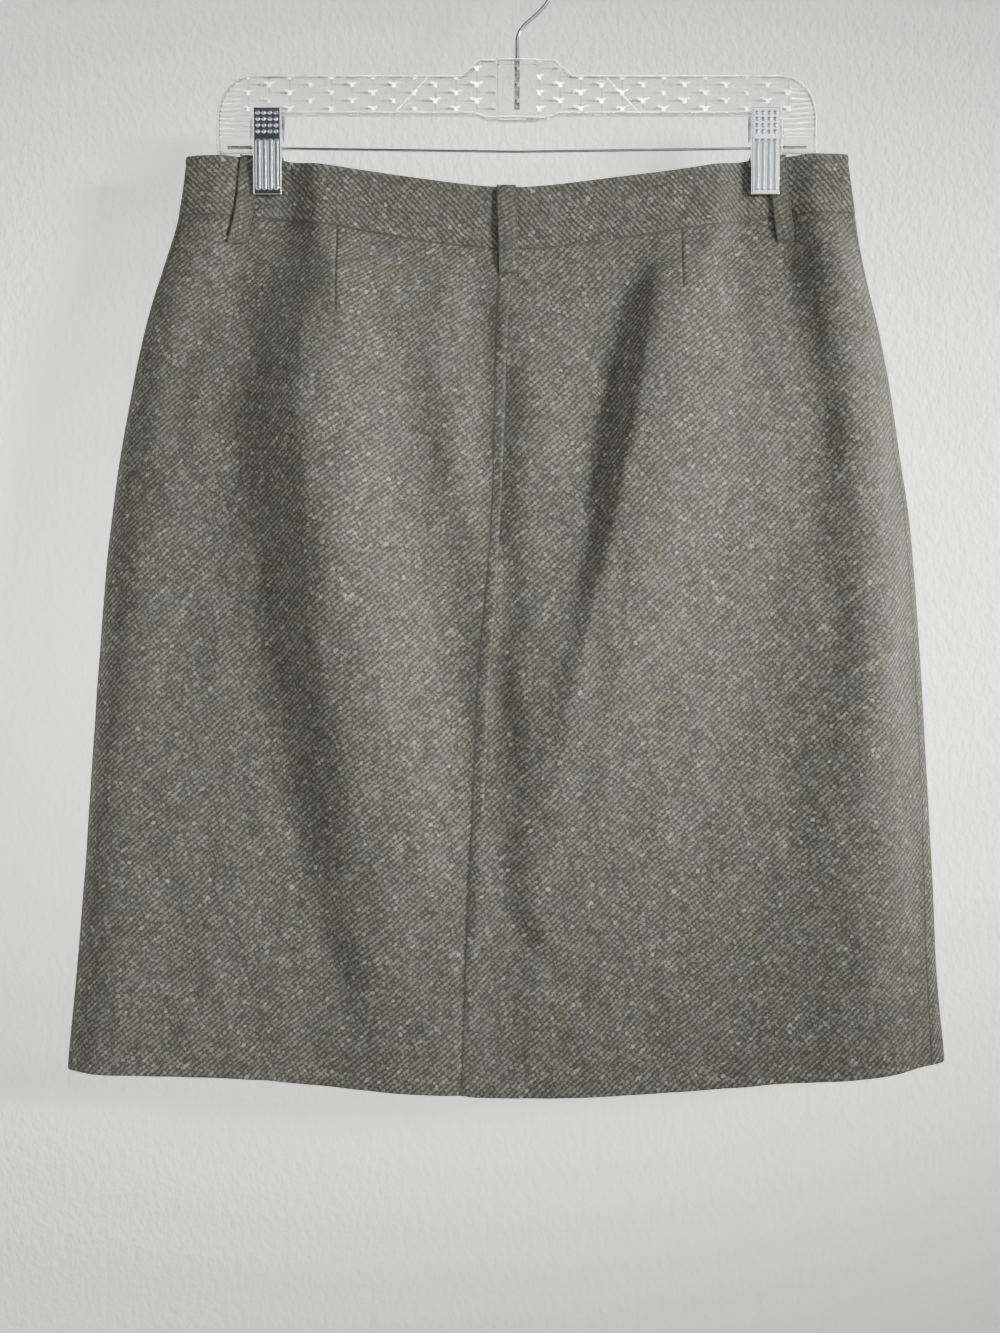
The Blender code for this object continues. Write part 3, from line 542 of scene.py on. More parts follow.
clipHolds = dict(x=(-147.1, 146.3), flat=12.0, spread=20.0, widens=0.35, fade=110.0, held=1.45)
sagging = dict(middle=-5.0, bend=30.0, soft=0.04)
seamDip = dict(drop=38.0, reach=18.0, deep=2.6, sides=0.25)
# how much lower the waist edge and the hem hang at each x
lowered = dict(
    x=[-260, -190, -130, -25, 40, 105, 145, 195, 245],
    top=[0, 0, 1.5, 0, 1, 3.5, 3, 1, 1],
    hem=[1, 2, 4, 1.5, 4.5, 8, 9, 6, 1.5],
)
loweredBlur = 14.0
loweredFrom = 60.0


def smooth(value):
    # 3t^2 - 2t^3 of the value held between 0 and 1
    value = np.clip(value, 0.0, 1.0)
    return value * value * (3.0 - 2.0 * value)


def bell(away, width):
    # exp(-(away / width)^2)
    return np.exp(-((away / width) ** 2))


def fadeOut(drop, ends, fade):
    # 1 down to the fade's start, eased to 0 where it ends
    return 1.0 - smooth((drop - ends + fade) / fade)


def lensOf(angle):
    # cos * sqrt(1 + sin^2): the section's depth from -1 at the front to 1 at the back
    return np.cos(angle) * np.sqrt(1.0 + np.sin(angle) ** 2)


def readSoft(table, column, at, blur, given="drop", count=7):
    # a table's column at the given places, its corners rounded by a mean over the blur length
    steps = np.linspace(-blur, blur, count)
    return sum(np.interp(at + step, table[given], table[column]) for step in steps) / count


def section(column, drop):
    # one column of the sections at a drop
    return readSoft(sections, column, drop, sectionBlur)


def foldHeight(folds, x, drop):
    # sum of bells exp(-(distance / width)^2) across each crest, with one width to each side
    total = np.zeros(np.broadcast(x, drop).shape)
    for fold in folds:
        away = x - readSoft(fold, "x", drop, foldBlur, count=5)
        width = np.where(away < 0, fold["flanks"][0], fold["flanks"][1])
        total = total + readSoft(fold, "height", drop, foldBlur, count=5) * bell(away, width)
    return total


def clipHold(x, drop):
    # 1 where a clip presses the two layers together, falling off to the sides and down the cloth
    spread = clipHolds["spread"] + clipHolds["widens"] * np.maximum(drop - bandHeight, 0.0)
    fade = 1.0 - smooth((drop - bandHeight) / clipHolds["fade"])
    hold = sum(1.0 - smooth((np.abs(x - clip) - clipHolds["flat"]) / spread) for clip in clipHolds["x"])
    return np.clip(hold, 0.0, 1.0) * fade


def hammock(x):
    # a rounded V: 0 at the clips, 1 in the middle, and near 0 outside the clips
    middle, bend = sagging["middle"], sagging["bend"]
    reach = np.where(x < middle, middle - clipHolds["x"][0], clipHolds["x"][1] - middle)
    fall = np.sqrt((x - middle) ** 2 + bend**2) - bend
    value = 1.0 - fall / (np.sqrt(reach**2 + bend**2) - bend)
    return 0.5 * (value + np.sqrt(value**2 + sagging["soft"] ** 2))


def clothPoint(angle, drop):
    # x = centre + half width * sin(angle); y = depth * cos(angle), pressed at the clips, plus the
    # folds; z = how far down, plus the sag. -90 degrees is the left outline, 0 the back's middle
    across = np.sin(angle)
    left = section("left", drop)
    right = section("right", drop)
    x = (left + right) / 2 + (right - left) / 2 * across
    lens = lensOf(angle)
    isBack = lens >= 0
    depth = np.where(isBack, section("near", drop), section("far", drop)) * np.abs(lens)
    hold = clipHold(x, drop)
    depth = depth + hold * (np.minimum(depth, clipHolds["held"]) - depth)
    folds = np.where(isBack, foldHeight(backFolds, x, drop), foldHeight(frontFolds, x, drop))
    depth = depth + folds * smooth(np.abs(lens) / 0.8) * smooth((drop - foldStart) / foldFull)
    y = np.where(isBack, -depth, depth)
    z = topCornerZ - drop - section("sag", drop) * hammock(x) + section("lift", drop) * across
    dip = seamDip["deep"] * bell(drop - seamDip["drop"], seamDip["reach"]) * smooth(lens / 0.6)
    z = z - dip * np.clip(hammock(x) + seamDip["sides"], 0.0, 1.0)
    low = smooth((drop - loweredFrom) / (skirtLength - loweredFrom))
    z = z - (1.0 - low) * readSoft(lowered, "top", x, loweredBlur, "x")
    z = z - low * readSoft(lowered, "hem", x, loweredBlur, "x")
    return np.stack(np.broadcast_arrays(x, y, z), axis=-1)


def clothNormal(angle, drop):
    # cross product of the form's own slopes, which points outwards
    turn = 0.002
    step = 0.2
    along = clothPoint(angle + turn, drop) - clothPoint(angle - turn, drop)
    down = clothPoint(angle, drop + step) - clothPoint(angle, drop - step)
    normal = np.cross(down, along)
    return normal / np.linalg.norm(normal, axis=-1, keepdims=True)


def angleAt(x, drop):
    # arcsin of x's place between the two outlines
    left = section("left", drop)
    right = section("right", drop)
    return np.arcsin(np.clip((2 * x - left - right) / (right - left), -1.0, 1.0))


def leftSeam(drop):
    # the left outline, a fixed way in
    return section("left", drop) + leftSeamIn


def rightSeam(drop):
    # the right outline, in by the way its section gives
    return section("right", drop) - section("seamIn", drop)


def centreSeam(drop):
    # the seam's own line with its corners rounded
    return readSoft(seamLine, "x", drop, sectionBlur)


# ---- small relief that the solids leave out: seams, darts, stitch lines and creases ----

lapSeam = dict(
    strip=5.9, raised=0.34, fall=0.9, groove=0.16, grooveAt=7.1, grooveWidth=0.8, dip=0.06, dipWidth=2.2,
    ends=ventTop + 6.0, fade=24.0,
)
darts = [
    dict(side="back", top=-105.6, foot=-104.2, ends=106.0, fade=26.0),
    dict(side="back", top=96.0, foot=95.0, ends=84.0, fade=22.0),
    dict(side="front", top=-92.0, foot=-88.0, ends=112.0, fade=24.0),
    dict(side="front", top=88.0, foot=84.0, ends=112.0, fade=24.0),
]
dartShape = dict(depth=0.75, width=0.85, puff=0.35, puffWidth=4.5)

# smaller folds that ride on the broad ones, placed near the waist, halfway and near the hem
fineFade = 42.0
fineDrops = (60, 280, 500)
fineFolds = [
    dict(drop=fineDrops, x=(-190, -232, -248), height=(0, 5, 3), flanks=(40, 28)),
    dict(drop=fineDrops, x=(-150, -160, -140), height=(0, 2.5, 0), flanks=(40, 20)),
    dict(drop=fineDrops, x=(-115, -110, -100), height=(-4, -2, 0), flanks=(20, 45)),
    dict(drop=fineDrops, x=(-45, -28, -26), height=(5, 3, 0), flanks=(60, 22)),
    dict(drop=fineDrops, x=(-6, -14, -26), height=(4, 5, 1), flanks=(12, 45)),
    dict(drop=fineDrops, x=(65, 46, 24), height=(-1, -5, 0), flanks=(16, 60)),
    dict(drop=fineDrops, x=(200, 205, 215), height=(4, 5, 3), flanks=(50, 22)),
]

# creases and small ridges: from one place (x, drop) to another, how high and how wide
creases = [
    dict(start=(-9, 426), end=(31, 474), height=-1.3, width=6.5),
    dict(start=(-112, 462), end=(-58, 512), height=-1.2, width=9.0),
    dict(start=(-96, 492), end=(-66, 530), height=-0.8, width=7.0),
    dict(start=(-176, 60), end=(-196, 150), height=-1.1, width=9.0),
    dict(start=(-38, 52), end=(-52, 120), height=0.8, width=8.0),
    dict(start=(120, 52), end=(134, 130), height=-1.3, width=9.0),
    dict(start=(36, 330), end=(4, 420), height=0.7, width=10.0),
    dict(start=(150, 300), end=(168, 430), height=-1.0, width=13.0),
    dict(start=(-215, 300), end=(-190, 420), height=0.8, width=14.0),
    dict(start=(60, 455), end=(110, 500), height=0.7, width=11.0),
    dict(start=(-24, 60), end=(-30, 100), height=-0.6, width=6.0),
]
frontCreases = [
    dict(start=(-150, 80), end=(-130, 190), height=-1.2, width=9.0),
    dict(start=(20, 90), end=(6, 210), height=0.9, width=12.0),
    dict(start=(150, 120), end=(172, 260), height=-1.0, width=12.0),
    dict(start=(-60, 380), end=(-20, 470), height=-0.9, width=9.0),
    dict(start=(80, 400), end=(120, 500), height=0.8, width=12.0),
]
ripples = [  # wavelength across, wavelength down, height and phase of the cloth's unevenness
    (47.0, 160.0, 0.32, 0.3), (29.0, -95.0, 0.20, 1.9), (71.0, 61.0, 0.30, 4.1),
    (-38.0, 43.0, 0.16, 2.7), (19.0, 120.0, 0.10, 5.2),
]


def creaseHeight(lines, x, drop):
    # a bell across each line, faded in and out along it
    total = np.zeros(np.broadcast(x, drop).shape)
    for line in lines:
        (x0, d0), (x1, d1) = line["start"], line["end"]
        length = math.hypot(x1 - x0, d1 - d0)
        ux, ud = (x1 - x0) / length, (d1 - d0) / length
        part = ((x - x0) * ux + (drop - d0) * ud) / length
        away = (x - x0) * ud - (drop - d0) * ux
        ends = smooth((part + 0.35) / 0.55) * smooth((1.35 - part) / 0.55)
        total = total + line["height"] * ends * bell(away, line["width"])
    return total


def rippleHeight(x, drop):
    # a few crossing sine waves of small height
    turn = 2 * math.pi
    return sum(
        height * np.sin(turn * (x / wide + drop / tall) + phase) for wide, tall, height, phase in ripples
    )


def dartLine(dart, drop):
    # x of the dart's straight line, from its top to its foot
    return dart["top"] + (dart["foot"] - dart["top"]) * (drop - bandHeight) / (dart["ends"] - bandHeight)


def dartHeight(side, x, drop):
    # a thin groove between two low swellings, which run out at the dart's point
    total = np.zeros(np.broadcast(x, drop).shape)
    for dart in darts:
        if dart["side"] != side:
            continue
        away = x - dartLine(dart, drop)
        groove = dartShape["depth"] * bell(away, dartShape["width"])
        puff = dartShape["puff"] * bell(away, dartShape["puffWidth"])
        total = total + fadeOut(drop, dart["ends"], dart["fade"]) * (puff - groove)
    return total


def lapHeight(x, drop):
    # right of the centre seam a strip that rises to its stitched edge and steps down past it
    away = x - centreSeam(drop)
    end = fadeOut(drop, lapSeam["ends"], lapSeam["fade"])
    rise = lapSeam["raised"] * smooth((away + 0.3) / (lapSeam["strip"] + 0.3))
    strip = rise * (1.0 - smooth((away - lapSeam["strip"]) / lapSeam["fall"]))
    groove = lapSeam["groove"] * bell(away - lapSeam["grooveAt"], lapSeam["grooveWidth"])
    dip = lapSeam["dip"] * bell(np.minimum(away, 0), lapSeam["dipWidth"]) * (away < 0)
    return end * (strip - groove) - dip


def backRelief(x, drop):
    # darts, lap, creases and ripples together, the ripples from 40 mm down
    small = dartHeight("back", x, drop) + lapHeight(x, drop)
    return small + creaseHeight(creases, x, drop) + rippleHeight(x, drop) * smooth((drop - 40) / 60)


def frontRelief(x, drop):
    # the same of the front, its ripples moved along so that they differ
    waves = rippleHeight(x + 23.0, drop + 11.0) * smooth((drop - 40) / 60)
    return dartHeight("front", x, drop) + creaseHeight(frontCreases, x, drop) + waves


def clothRelief(angle, x, drop):
    # the back's or the front's relief, faded out towards the outlines where they meet
    lens = lensOf(angle)
    relief = np.where(lens >= 0, backRelief(x, drop), frontRelief(x, drop)) * smooth(np.abs(lens) / 0.3)
    folds = foldHeight(fineFolds, x, drop) * smooth(lens / 0.62) * smooth((drop - bandHeight) / fineFade)
    return relief + folds


# ---- panels ----

panelShape = dict(
    wall=1.6, hemTurn=38.0, columnStep=2.4, rowStep=2.6, turnStep=4.2,
    edgeSteps=(0.0, 0.13, 0.28, 0.48, 0.95, 1.6), dartReach=2.4, dartStep=0.55,
)
vent = dict(
    above=362.0, part=0.16, lean=8.0, slip=1.0, under=6.0, slim=0.84, opensFrom=348.0, opensOver=24.0,
    hemFrom=484.0, hemOver=12.0, hemUnder=6.5, cornerDrop=0.6, cornerIn=24.0, cornerFrom=470.0,
    cornerOver=60.0, wide=38.0, nearSteps=(0.5, 1.2, 2.0, 3.0, 4.0, 5.2, 6.5),
    farSteps=(37.2, 37.6, 37.85, 38.0),
)
bandShape = dict(seamRound=0.03, wall=2.4, step=2.4, rowStep=1.1, stitchAt=5.0)
loopShape = dict(
    turned=8.0, wall=1.4, half=5.75, bow=0.8, clippedBow=0.5, clippedDrop=25.0, top=-0.9, foot=51.5,
    footFrom=44.0, footSlim=0.6, footIn=0.75, bowEnds=48.0, fold=0.16, rowStep=1.1,
    columns=(0, 0.012, 0.035, 0.08, 0.15, 0.25, 0.37, 0.5, 0.63, 0.75, 0.85, 0.92, 0.965, 0.988, 1.0),
)


def shiftAngle(angle, drop, distance):
    # the angle a distance further round the cloth
    turn = 0.002
    speed = np.linalg.norm(clothPoint(angle + turn, drop) - clothPoint(angle - turn, drop), axis=-1)
    return angle + distance * 2 * turn / speed


def closeSteps(length, step, features=(), ends=(True, True)):
    # places from 0 to length a step apart, closer at the ends and over each feature's reach
    edge = np.array(panelShape["edgeSteps"])
    places = [np.linspace(0, length, max(3, round(length / step)) + 1)]
    if ends[0]:
        places.append(edge)
    if ends[1]:
        places.append(length - edge)
    for low, high, fine in features:
        places.append(np.arange(low, high, fine))
    found = np.unique(np.clip(np.concatenate(places), 0, length))
    keep = np.concatenate([[True], np.diff(found) > 0.1])
    keep[-1] = True
    return found[keep]


def readRows(wanted, lengths, angles):
    # in each row the angles at the wanted lengths
    return np.stack([np.interp(*row) for row in zip(wanted, lengths, angles)])


def columnAngles(fromAngle, toAngle, drops, places):
    # angles at which the cloth's own length from the first edge reaches each place; places keep
    # their distance from both ends, and what a row has over the shortest one goes in the middle
    fine = np.linspace(0, 1, 500)[None, :]
    angles = fromAngle + (toAngle - fromAngle) * fine
    lengths = lengthsAlong(clothPoint(angles, drops), 1)
    reference = places[-1]
    wanted = places[None, :] + (lengths[:, -1:] - reference) * smooth(places[None, :] / reference)
    return readRows(wanted, lengths, angles)


def rowWidth(fromAngle, toAngle, drop):
    # the cloth's length between two angles at one drop
    angles = np.linspace(fromAngle, toAngle, 500)[None]
    return float(lengthsAlong(clothPoint(angles, drop), 1)[0, -1])


def hemRows(top):
    # rows of a panel as (drop, out): down the outside, round the hem, and up inside
    under = panelShape["wall"] + layerGap
    foot = skirtLength - under / 2 - panelShape["wall"] / 2
    down = top + closeSteps(foot - top, panelShape["rowStep"], ends=(True, False))
    turn = np.linspace(0, math.pi, 8)[1:-1]
    up = foot - closeSteps(panelShape["hemTurn"], panelShape["turnStep"], ends=(False, True))
    drops = np.concatenate([down, foot + under / 2 * np.sin(turn), up])
    outs = np.concatenate([0 * down, -under / 2 * (1 - np.cos(turn)), 0 * up - under])
    return drops[:, None], outs[:, None]


def weavePlaces(middle, grainColumn, press, turned=0.0):
    # the cloth's own map: distance round from the grain column, and height up the cloth
    along = lengthsAlong(middle, 1)
    along = along - along[:, grainColumn : grainColumn + 1]
    up = middle[:1, :, 2] - lengthsAlong(middle, 0)
    turn = math.radians(turned)
    x = along * math.cos(turn) - up * math.sin(turn)
    y = along * math.sin(turn) + up * math.cos(turn)
    return np.stack([x, y, np.broadcast_to(press, x.shape)], axis=-1)


def edgePressAndShade(away, width=0.75):
    # 1 at the sewn edges, falling off as a bell; it flattens the weave there and darkens it as painted shade
    return np.clip(sum(bell(distance, width) for distance in away), 0.0, 1.0)


def edgeDistances(middle, lastColumn=None):
    # how far each point is from the top, bottom, left and right edge of its piece
    down = lengthsAlong(middle, 0)
    along = lengthsAlong(middle, 1)
    if lastColumn is None:
        lastColumn = np.full(middle.shape[0], middle.shape[1] - 1)
    width = along[np.arange(len(along)), lastColumn][:, None]
    return dict(top=down, bottom=down[-1:] - down, left=along, right=np.abs(width - along))


def dartPressAndShade(side, x, drop):
    # how pressed the cloth is in a dart's groove, from its depth; the cloth is darker there, as painted shade
    # in the groove
    return np.clip(-1.3 * np.minimum(dartHeight(side, x, drop), 0), 0, 1)


def dartSpot(fromEdge, toEdge, width, dart):
    # the stretch of columns that the dart crosses at its top, middle and end, with closer steps
    reach = []
    places = np.linspace(0, width, 700)
    for drop in (bandHeight, (bandHeight + dart["ends"]) / 2, dart["ends"] - 8):
        row = np.array([[float(drop)]])
        angles = columnAngles(fromEdge(row), toEdge(row), row, places)
        xs = clothPoint(angles, row)[0, 12:-12, 0]
        order = np.argsort(xs)
        reach.append(float(np.interp(dartLine(dart, drop), xs[order], places[12:-12][order])))
    return min(reach) - panelShape["dartReach"], max(reach) + panelShape["dartReach"], panelShape["dartStep"]


def ventOpens(drop):
    # 0 above the vent, eased to 1 in it
    return smooth((drop - vent["opensFrom"]) / vent["opensOver"])


def underlap(toEdge, drops, angles, outs):
    # beyond the seam the vent's underlap goes on below the other half: it slips under over the
    # lean, lies a wall and a gap deeper past the seam, and as much again over the other's hem
    own = angles.shape[1]
    seamAngle = toEdge(drops)
    farAngle = angleAt(rightSeam(drops), drops)
    beyond = seamAngle + (farAngle - seamAngle) * np.linspace(0, 1, 300)[None, :]
    lengths = lengthsAlong(clothPoint(beyond, drops), 1)
    steps = np.concatenate([vent["nearSteps"], np.linspace(8.5, 36.0, 12), vent["farSteps"]]) / vent["wide"]
    under = readRows(vent["part"] * lengths[:, -1:] * steps, lengths, beyond)
    angles = np.concatenate([angles, under], axis=1)
    outs = np.concatenate([outs, outs[:, :1] + 0 * under], axis=1)
    along = lengthsAlong(clothPoint(angles, drops), 1)
    past = along - along[:, own - 1 : own]
    layer = panelShape["wall"] + layerGap
    tuck = vent["slip"] * smooth((past + vent["lean"]) / vent["lean"])
    tuck = tuck + (layer - vent["slip"]) * smooth(past / vent["under"])
    inHem = smooth((drops - vent["hemFrom"]) / vent["hemOver"])
    outs = outs - ventOpens(drops) * tuck - layer * inHem * smooth(past / vent["hemUnder"])
    isOpen = drops[:, 0] >= vent["above"]
    cells = np.ones((angles.shape[0] - 1, angles.shape[1] - 1), bool)
    cells[:, own - 1 :] = (isOpen[1:] & isOpen[:-1])[:, None]
    return angles, outs, cells, np.where(isOpen, angles.shape[1] - 1, own - 1)


def overlap(drops, angles, outs, places):
    # along the vent the cloth is pressed thin, its hem's turning stops short, and its corner hangs
    near = lengthsAlong(clothPoint(angles, drops), 1)
    slim = 1.0 - ventOpens(drops) * vent["slim"] * (1.0 - smooth(near / vent["under"]))
    turned = outs[:, 0] < -0.5
    cells = np.ones((angles.shape[0] - 1, angles.shape[1] - 1), bool)
    cells[np.ix_(turned[1:], places[:-1] < vent["hemUnder"])] = False
    low = smooth((drops - vent["cornerFrom"]) / vent["cornerOver"])
    return slim, cells, vent["cornerDrop"] * (low * (1.0 - smooth(near / vent["cornerIn"])))


def makePanel(name, fromEdge, toEdge, features, ownDarts, grainAt, press, lap):
    # the panel's grid on the form: columns by cloth length, rows by drop with the hem turned up
    drops, outs = hemRows(bandHeight + sewnGap / 2)
    start = shiftAngle(fromEdge(drops), drops, sewnGap / 2)
    end = shiftAngle(toEdge(drops), drops, -sewnGap / 2)
    first = np.array([[bandHeight]])
    width = rowWidth(fromEdge(first)[0, 0], toEdge(first)[0, 0], bandHeight)
    spots = []
    for low, high, fine in features:
        shift = 0.0 if low >= 0 else width
        spots.append((shift + low, shift + high, fine))
    spots += [dartSpot(fromEdge, toEdge, width, dart) for dart in ownDarts]
    places = closeSteps(width, panelShape["columnStep"], spots)
    angles = columnAngles(start, end, drops, places)
    outs = outs + 0 * angles
    cells, lastColumn, slim, lower = None, None, 1.0, 0.0
    if lap == "under":
        angles, outs, cells, lastColumn = underlap(toEdge, drops, angles, outs)
    if lap == "over":
        slim, cells, lower = overlap(drops, angles, outs, places)
    point = clothPoint(angles, drops)
    out = clothRelief(angles, point[..., 0], drops) + outs
    middle = point + clothNormal(angles, drops) * out[..., None]
    middle[..., 2] -= lower
    away = edgeDistances(middle, lastColumn)
    grain = int(np.argmin(np.abs(places - grainAt * width)))
    # pressed at the top and sewn side edges, and darker there as painted shade
    sewn = 0.8 * edgePressAndShade([away["top"], away["left"], away["right"]])
    pressed = np.clip(sewn + press(angles, point[..., 0], drops), 0, 1)
    weave = weavePlaces(middle, grain, pressed)
    piece = clothPiece(name, middle, panelShape["wall"], weave, away, cells, slim)
    return piece, *cutSize(middle, cells)


def clothPiece(name, middle, wall, weave, away, cells=None, slim=1.0, edgeRound=0.4):
    # a closed wall about a grid of middle points: half the wall to each side along the normal,
    # thinned in a quarter circle at each edge, and less inwards where the cloth bends tightly
    normal = surfaceNormals(middle)
    half = slim * np.full(middle.shape[:2], wall / 2)
    for edge in away:
        half = half * (0.7 + 0.3 * rounded(away[edge], edgeRound))
    turnRate = np.linalg.norm(np.gradient(normal, axis=1), axis=-1)
    stepLength = np.linalg.norm(np.gradient(middle, axis=1), axis=-1)
    tightest = 0.75 * stepLength / np.maximum(turnRate, 1e-6)
    outer = middle + normal * half[..., None]
    inner = middle - normal * np.minimum(half, tightest)[..., None]
    rows, columns = middle.shape[:2]
    quads = gridFaces(rows, columns)
    if cells is not None:
        quads = quads[cells.reshape(-1)]
    count = rows * columns
    sides = np.concatenate([quads[:, [k, (k + 1) % 4]] for k in range(4)])
    key = np.sort(sides, axis=1) @ np.array([count, 1])
    _, first, times = np.unique(key, return_index=True, return_counts=True)
    rim = sides[first[times == 1]]
    rimQuads = np.stack([rim[:, 1], rim[:, 0], rim[:, 0] + count, rim[:, 1] + count], axis=1)
    faces = np.concatenate([quads, quads[:, ::-1] + count, rimQuads])
    points = np.concatenate([outer.reshape(-1, 3), inner.reshape(-1, 3)])
    used, faces = np.unique(faces, return_inverse=True)
    faces = faces.reshape(-1, 4)
    piece = addPiece(name + "Cloth", points[used], faces.tolist(), tweed, "wool_twill", [name])
    setField(piece, "weave", np.concatenate([weave.reshape(-1, 3)] * 2)[used])
    return piece


def leftAngle(drop):
    # the left side seam's angle, and so on for the other seams
    return angleAt(leftSeam(drop), drop)


def centreAngle(drop):
    return angleAt(centreSeam(drop), drop)


def rightAngle(drop):
    return angleAt(rightSeam(drop), drop)


def leftAngleRound(drop):
    # the left side seam's angle, reached over the front
    return leftAngle(drop) + 2 * math.pi


def backPressAndShade(angle, x, drop):
    # pressed in the darts and along the groove beside the lapped seam, which also paints shade into these
    # grooves
    groove = bell(x - centreSeam(drop) - lapSeam["grooveAt"], 0.6)
    line = 0.3 * fadeOut(drop, lapSeam["ends"], lapSeam["fade"]) * groove
    return (dartPressAndShade("back", x, drop) + line) * (np.cos(angle) > 0)


def frontPressAndShade(angle, x, drop):
    # pressed in the darts, which also paints shade into their grooves
    return dartPressAndShade("front", x, drop) * (np.cos(angle) < 0)


backDarts = [dart for dart in darts if dart["side"] == "back"]
frontDarts = [dart for dart in darts if dart["side"] == "front"]
panels = dict(
    back_left=(leftAngle, centreAngle, [(0, 12, 0.8), (-7, 0, 0.8)], backDarts[:1], 0.55, backPressAndShade, "under"),
    back_right=(centreAngle, rightAngle, [(0, 9, 0.45), (-12, 0, 0.8)], backDarts[1:], 0.45, backPressAndShade, "over"),
    front=(rightAngle, leftAngleRound, [(0, 26, 0.8), (-14, 0, 0.7)], frontDarts, 0.5, frontPressAndShade, None),
)
clothSizes = {name: makePanel(name, *shape) for name, shape in panels.items()}
print("panels made")


# ---- waistband and belt loops ----


def bandRelief(angle, x, drop):
    # the rolled top edge over the inner layers, the stitch line's groove, and a low ripple
    roll = 0.28 * bell(drop - 2.2, 1.8)
    stitched = -0.30 * bell(drop - bandShape["stitchAt"], 0.7)
    foot = -0.25 * bell(drop - bandHeight, 2.0)
    wave = 0.14 * np.sin(x / 7.3 + 1.3 * np.sin(x / 23.0)) * np.sin(drop / 9.0 + x / 41.0)
    return roll + stitched + foot + wave


def makeBand(name, fromEdge, toEdge):
    # the band's grid on the form: columns by cloth length, rows by drop, its weave turned upright
    drops = closeSteps(bandHeight - sewnGap / 2, bandShape["rowStep"])[:, None]
    start = shiftAngle(fromEdge(drops), drops, sewnGap / 2)
    end = shiftAngle(toEdge(drops), drops, -sewnGap / 2)
    width = rowWidth(start[0, 0], end[0, 0], 0.0)
    places = closeSteps(width, bandShape["step"], [(0, 9, 0.5), (width - 9, width, 0.5)])
    angles = columnAngles(start, end, drops, places)
    point = clothPoint(angles, drops)
    middle = point + clothNormal(angles, drops) * bandRelief(angles, point[..., 0], drops)[..., None]
    away = edgeDistances(middle)
    # pressed at the bottom and side edges and along the stitch line, which paints shade there as well
    press = edgePressAndShade([away["bottom"], away["left"], away["right"]])
    press = np.clip(press + 0.45 * bell(drops - bandShape["stitchAt"], 0.8), 0, 1)
    weave = weavePlaces(middle, len(places) // 2, press, turned=90.0)
    piece = clothPiece(name, middle, bandShape["wall"], weave, away)
    clothSizes[name] = (piece, *cutSize(middle))


def bandRightAngle(drop):
    # the band meets its other part just past the outlines, at a quarter turn
    return 0 * drop + math.pi / 2 + bandShape["seamRound"]


def bandLeftAngle(drop):
    return 0 * drop - math.pi / 2 - bandShape["seamRound"]


def bandLeftAngleRound(drop):
    return 0 * drop + 3 * math.pi / 2 - bandShape["seamRound"]


makeBand("waistband_back", bandLeftAngle, bandRightAngle)
makeBand("waistband_front", bandRightAngle, bandLeftAngleRound)

loops = [
    dict(name="loop_back_left", seams=(leftSeam, centreSeam), part=(0.159, 0.221), clipped=True),
    dict(name="loop_back_centre", seams=(centreSeam, rightSeam), part=(0.0, 0.0566), clipped=False),
    dict(name="loop_back_right", seams=(centreSeam, rightSeam), part=(0.7816, 0.8355), clipped=True),
    dict(name="loop_front_right", seams=None, middle=95.0, clipped=False),
    dict(name="loop_front_left", seams=None, middle=-95.0, clipped=False),
]


def makeLoop(loop):
    # a strip that stands off the band by its gap, bowed between its two sewn ends
    steps = closeSteps(loopShape["foot"] - loopShape["top"], loopShape["rowStep"])
    drops = (loopShape["top"] + steps)[:, None]
    across = np.array(loopShape["columns"])[None, :]
    safe = np.maximum(drops, 0.0)
    if loop["seams"]:
        fromX, toX = (seam(safe) for seam in loop["seams"])
        low, high = (angleAt(fromX + (toX - fromX) * part, safe) for part in loop["part"])
    else:
        low, high = (np.pi - angleAt(loop["middle"] + side * loopShape["half"], safe) for side in (1, -1))
    angles = low + (high - low) * across
    clipped = loop["clipped"]
    start = loopShape["clippedDrop"] if clipped else 0.0
    part = np.clip((drops - start) / (loopShape["bowEnds"] - start), 0.0, 1.0)
    bow = loopShape["clippedBow" if clipped else "bow"] * np.sin(math.pi * part)
    folded = loopShape["fold"] * (np.cos(2 * math.pi * (across - 0.5)) - 1.0)
    tack = 0.0 if clipped else -0.35 * bell(drops - 47.0, 1.6) - 0.25 * bell(drops - 1.6, 1.4)
    foot = smooth((drops - loopShape["footFrom"]) / (loopShape["foot"] - loopShape["footFrom"]))
    out = bandShape["wall"] / 2 + layerGap + loopShape["wall"] / 2 + bow + folded + tack
    out = out - loopShape["footIn"] * foot
    point = clothPoint(angles, safe)
    under = clothRelief(angles, point[..., 0], safe) * smooth((drops - bandHeight + 3) / 6)
    middle = point + clothNormal(angles, safe) * (out + np.maximum(under, -0.3))[..., None]
    middle[..., 2] -= np.minimum(drops, 0)
    away = edgeDistances(middle)
    # the loop is pressed a little all over, which flattens its weave and darkens it, and more at its sewn
    # edges, where the darkening is painted shade
    press = 0.2 + 0.6 * edgePressAndShade([away["bottom"], away["left"], away["right"]], 0.8)
    weave = weavePlaces(middle, 7, press, turned=loopShape["turned"])
    slim = 1.0 - loopShape["footSlim"] * foot
    piece = clothPiece(loop["name"], middle, loopShape["wall"], weave, away, slim=slim)
    clothSizes[loop["name"]] = (piece, *cutSize(middle))


for loop in loops:
    makeLoop(loop)
print("band and loops made")


# ---- sewing: one joined mesh of short stitches ----


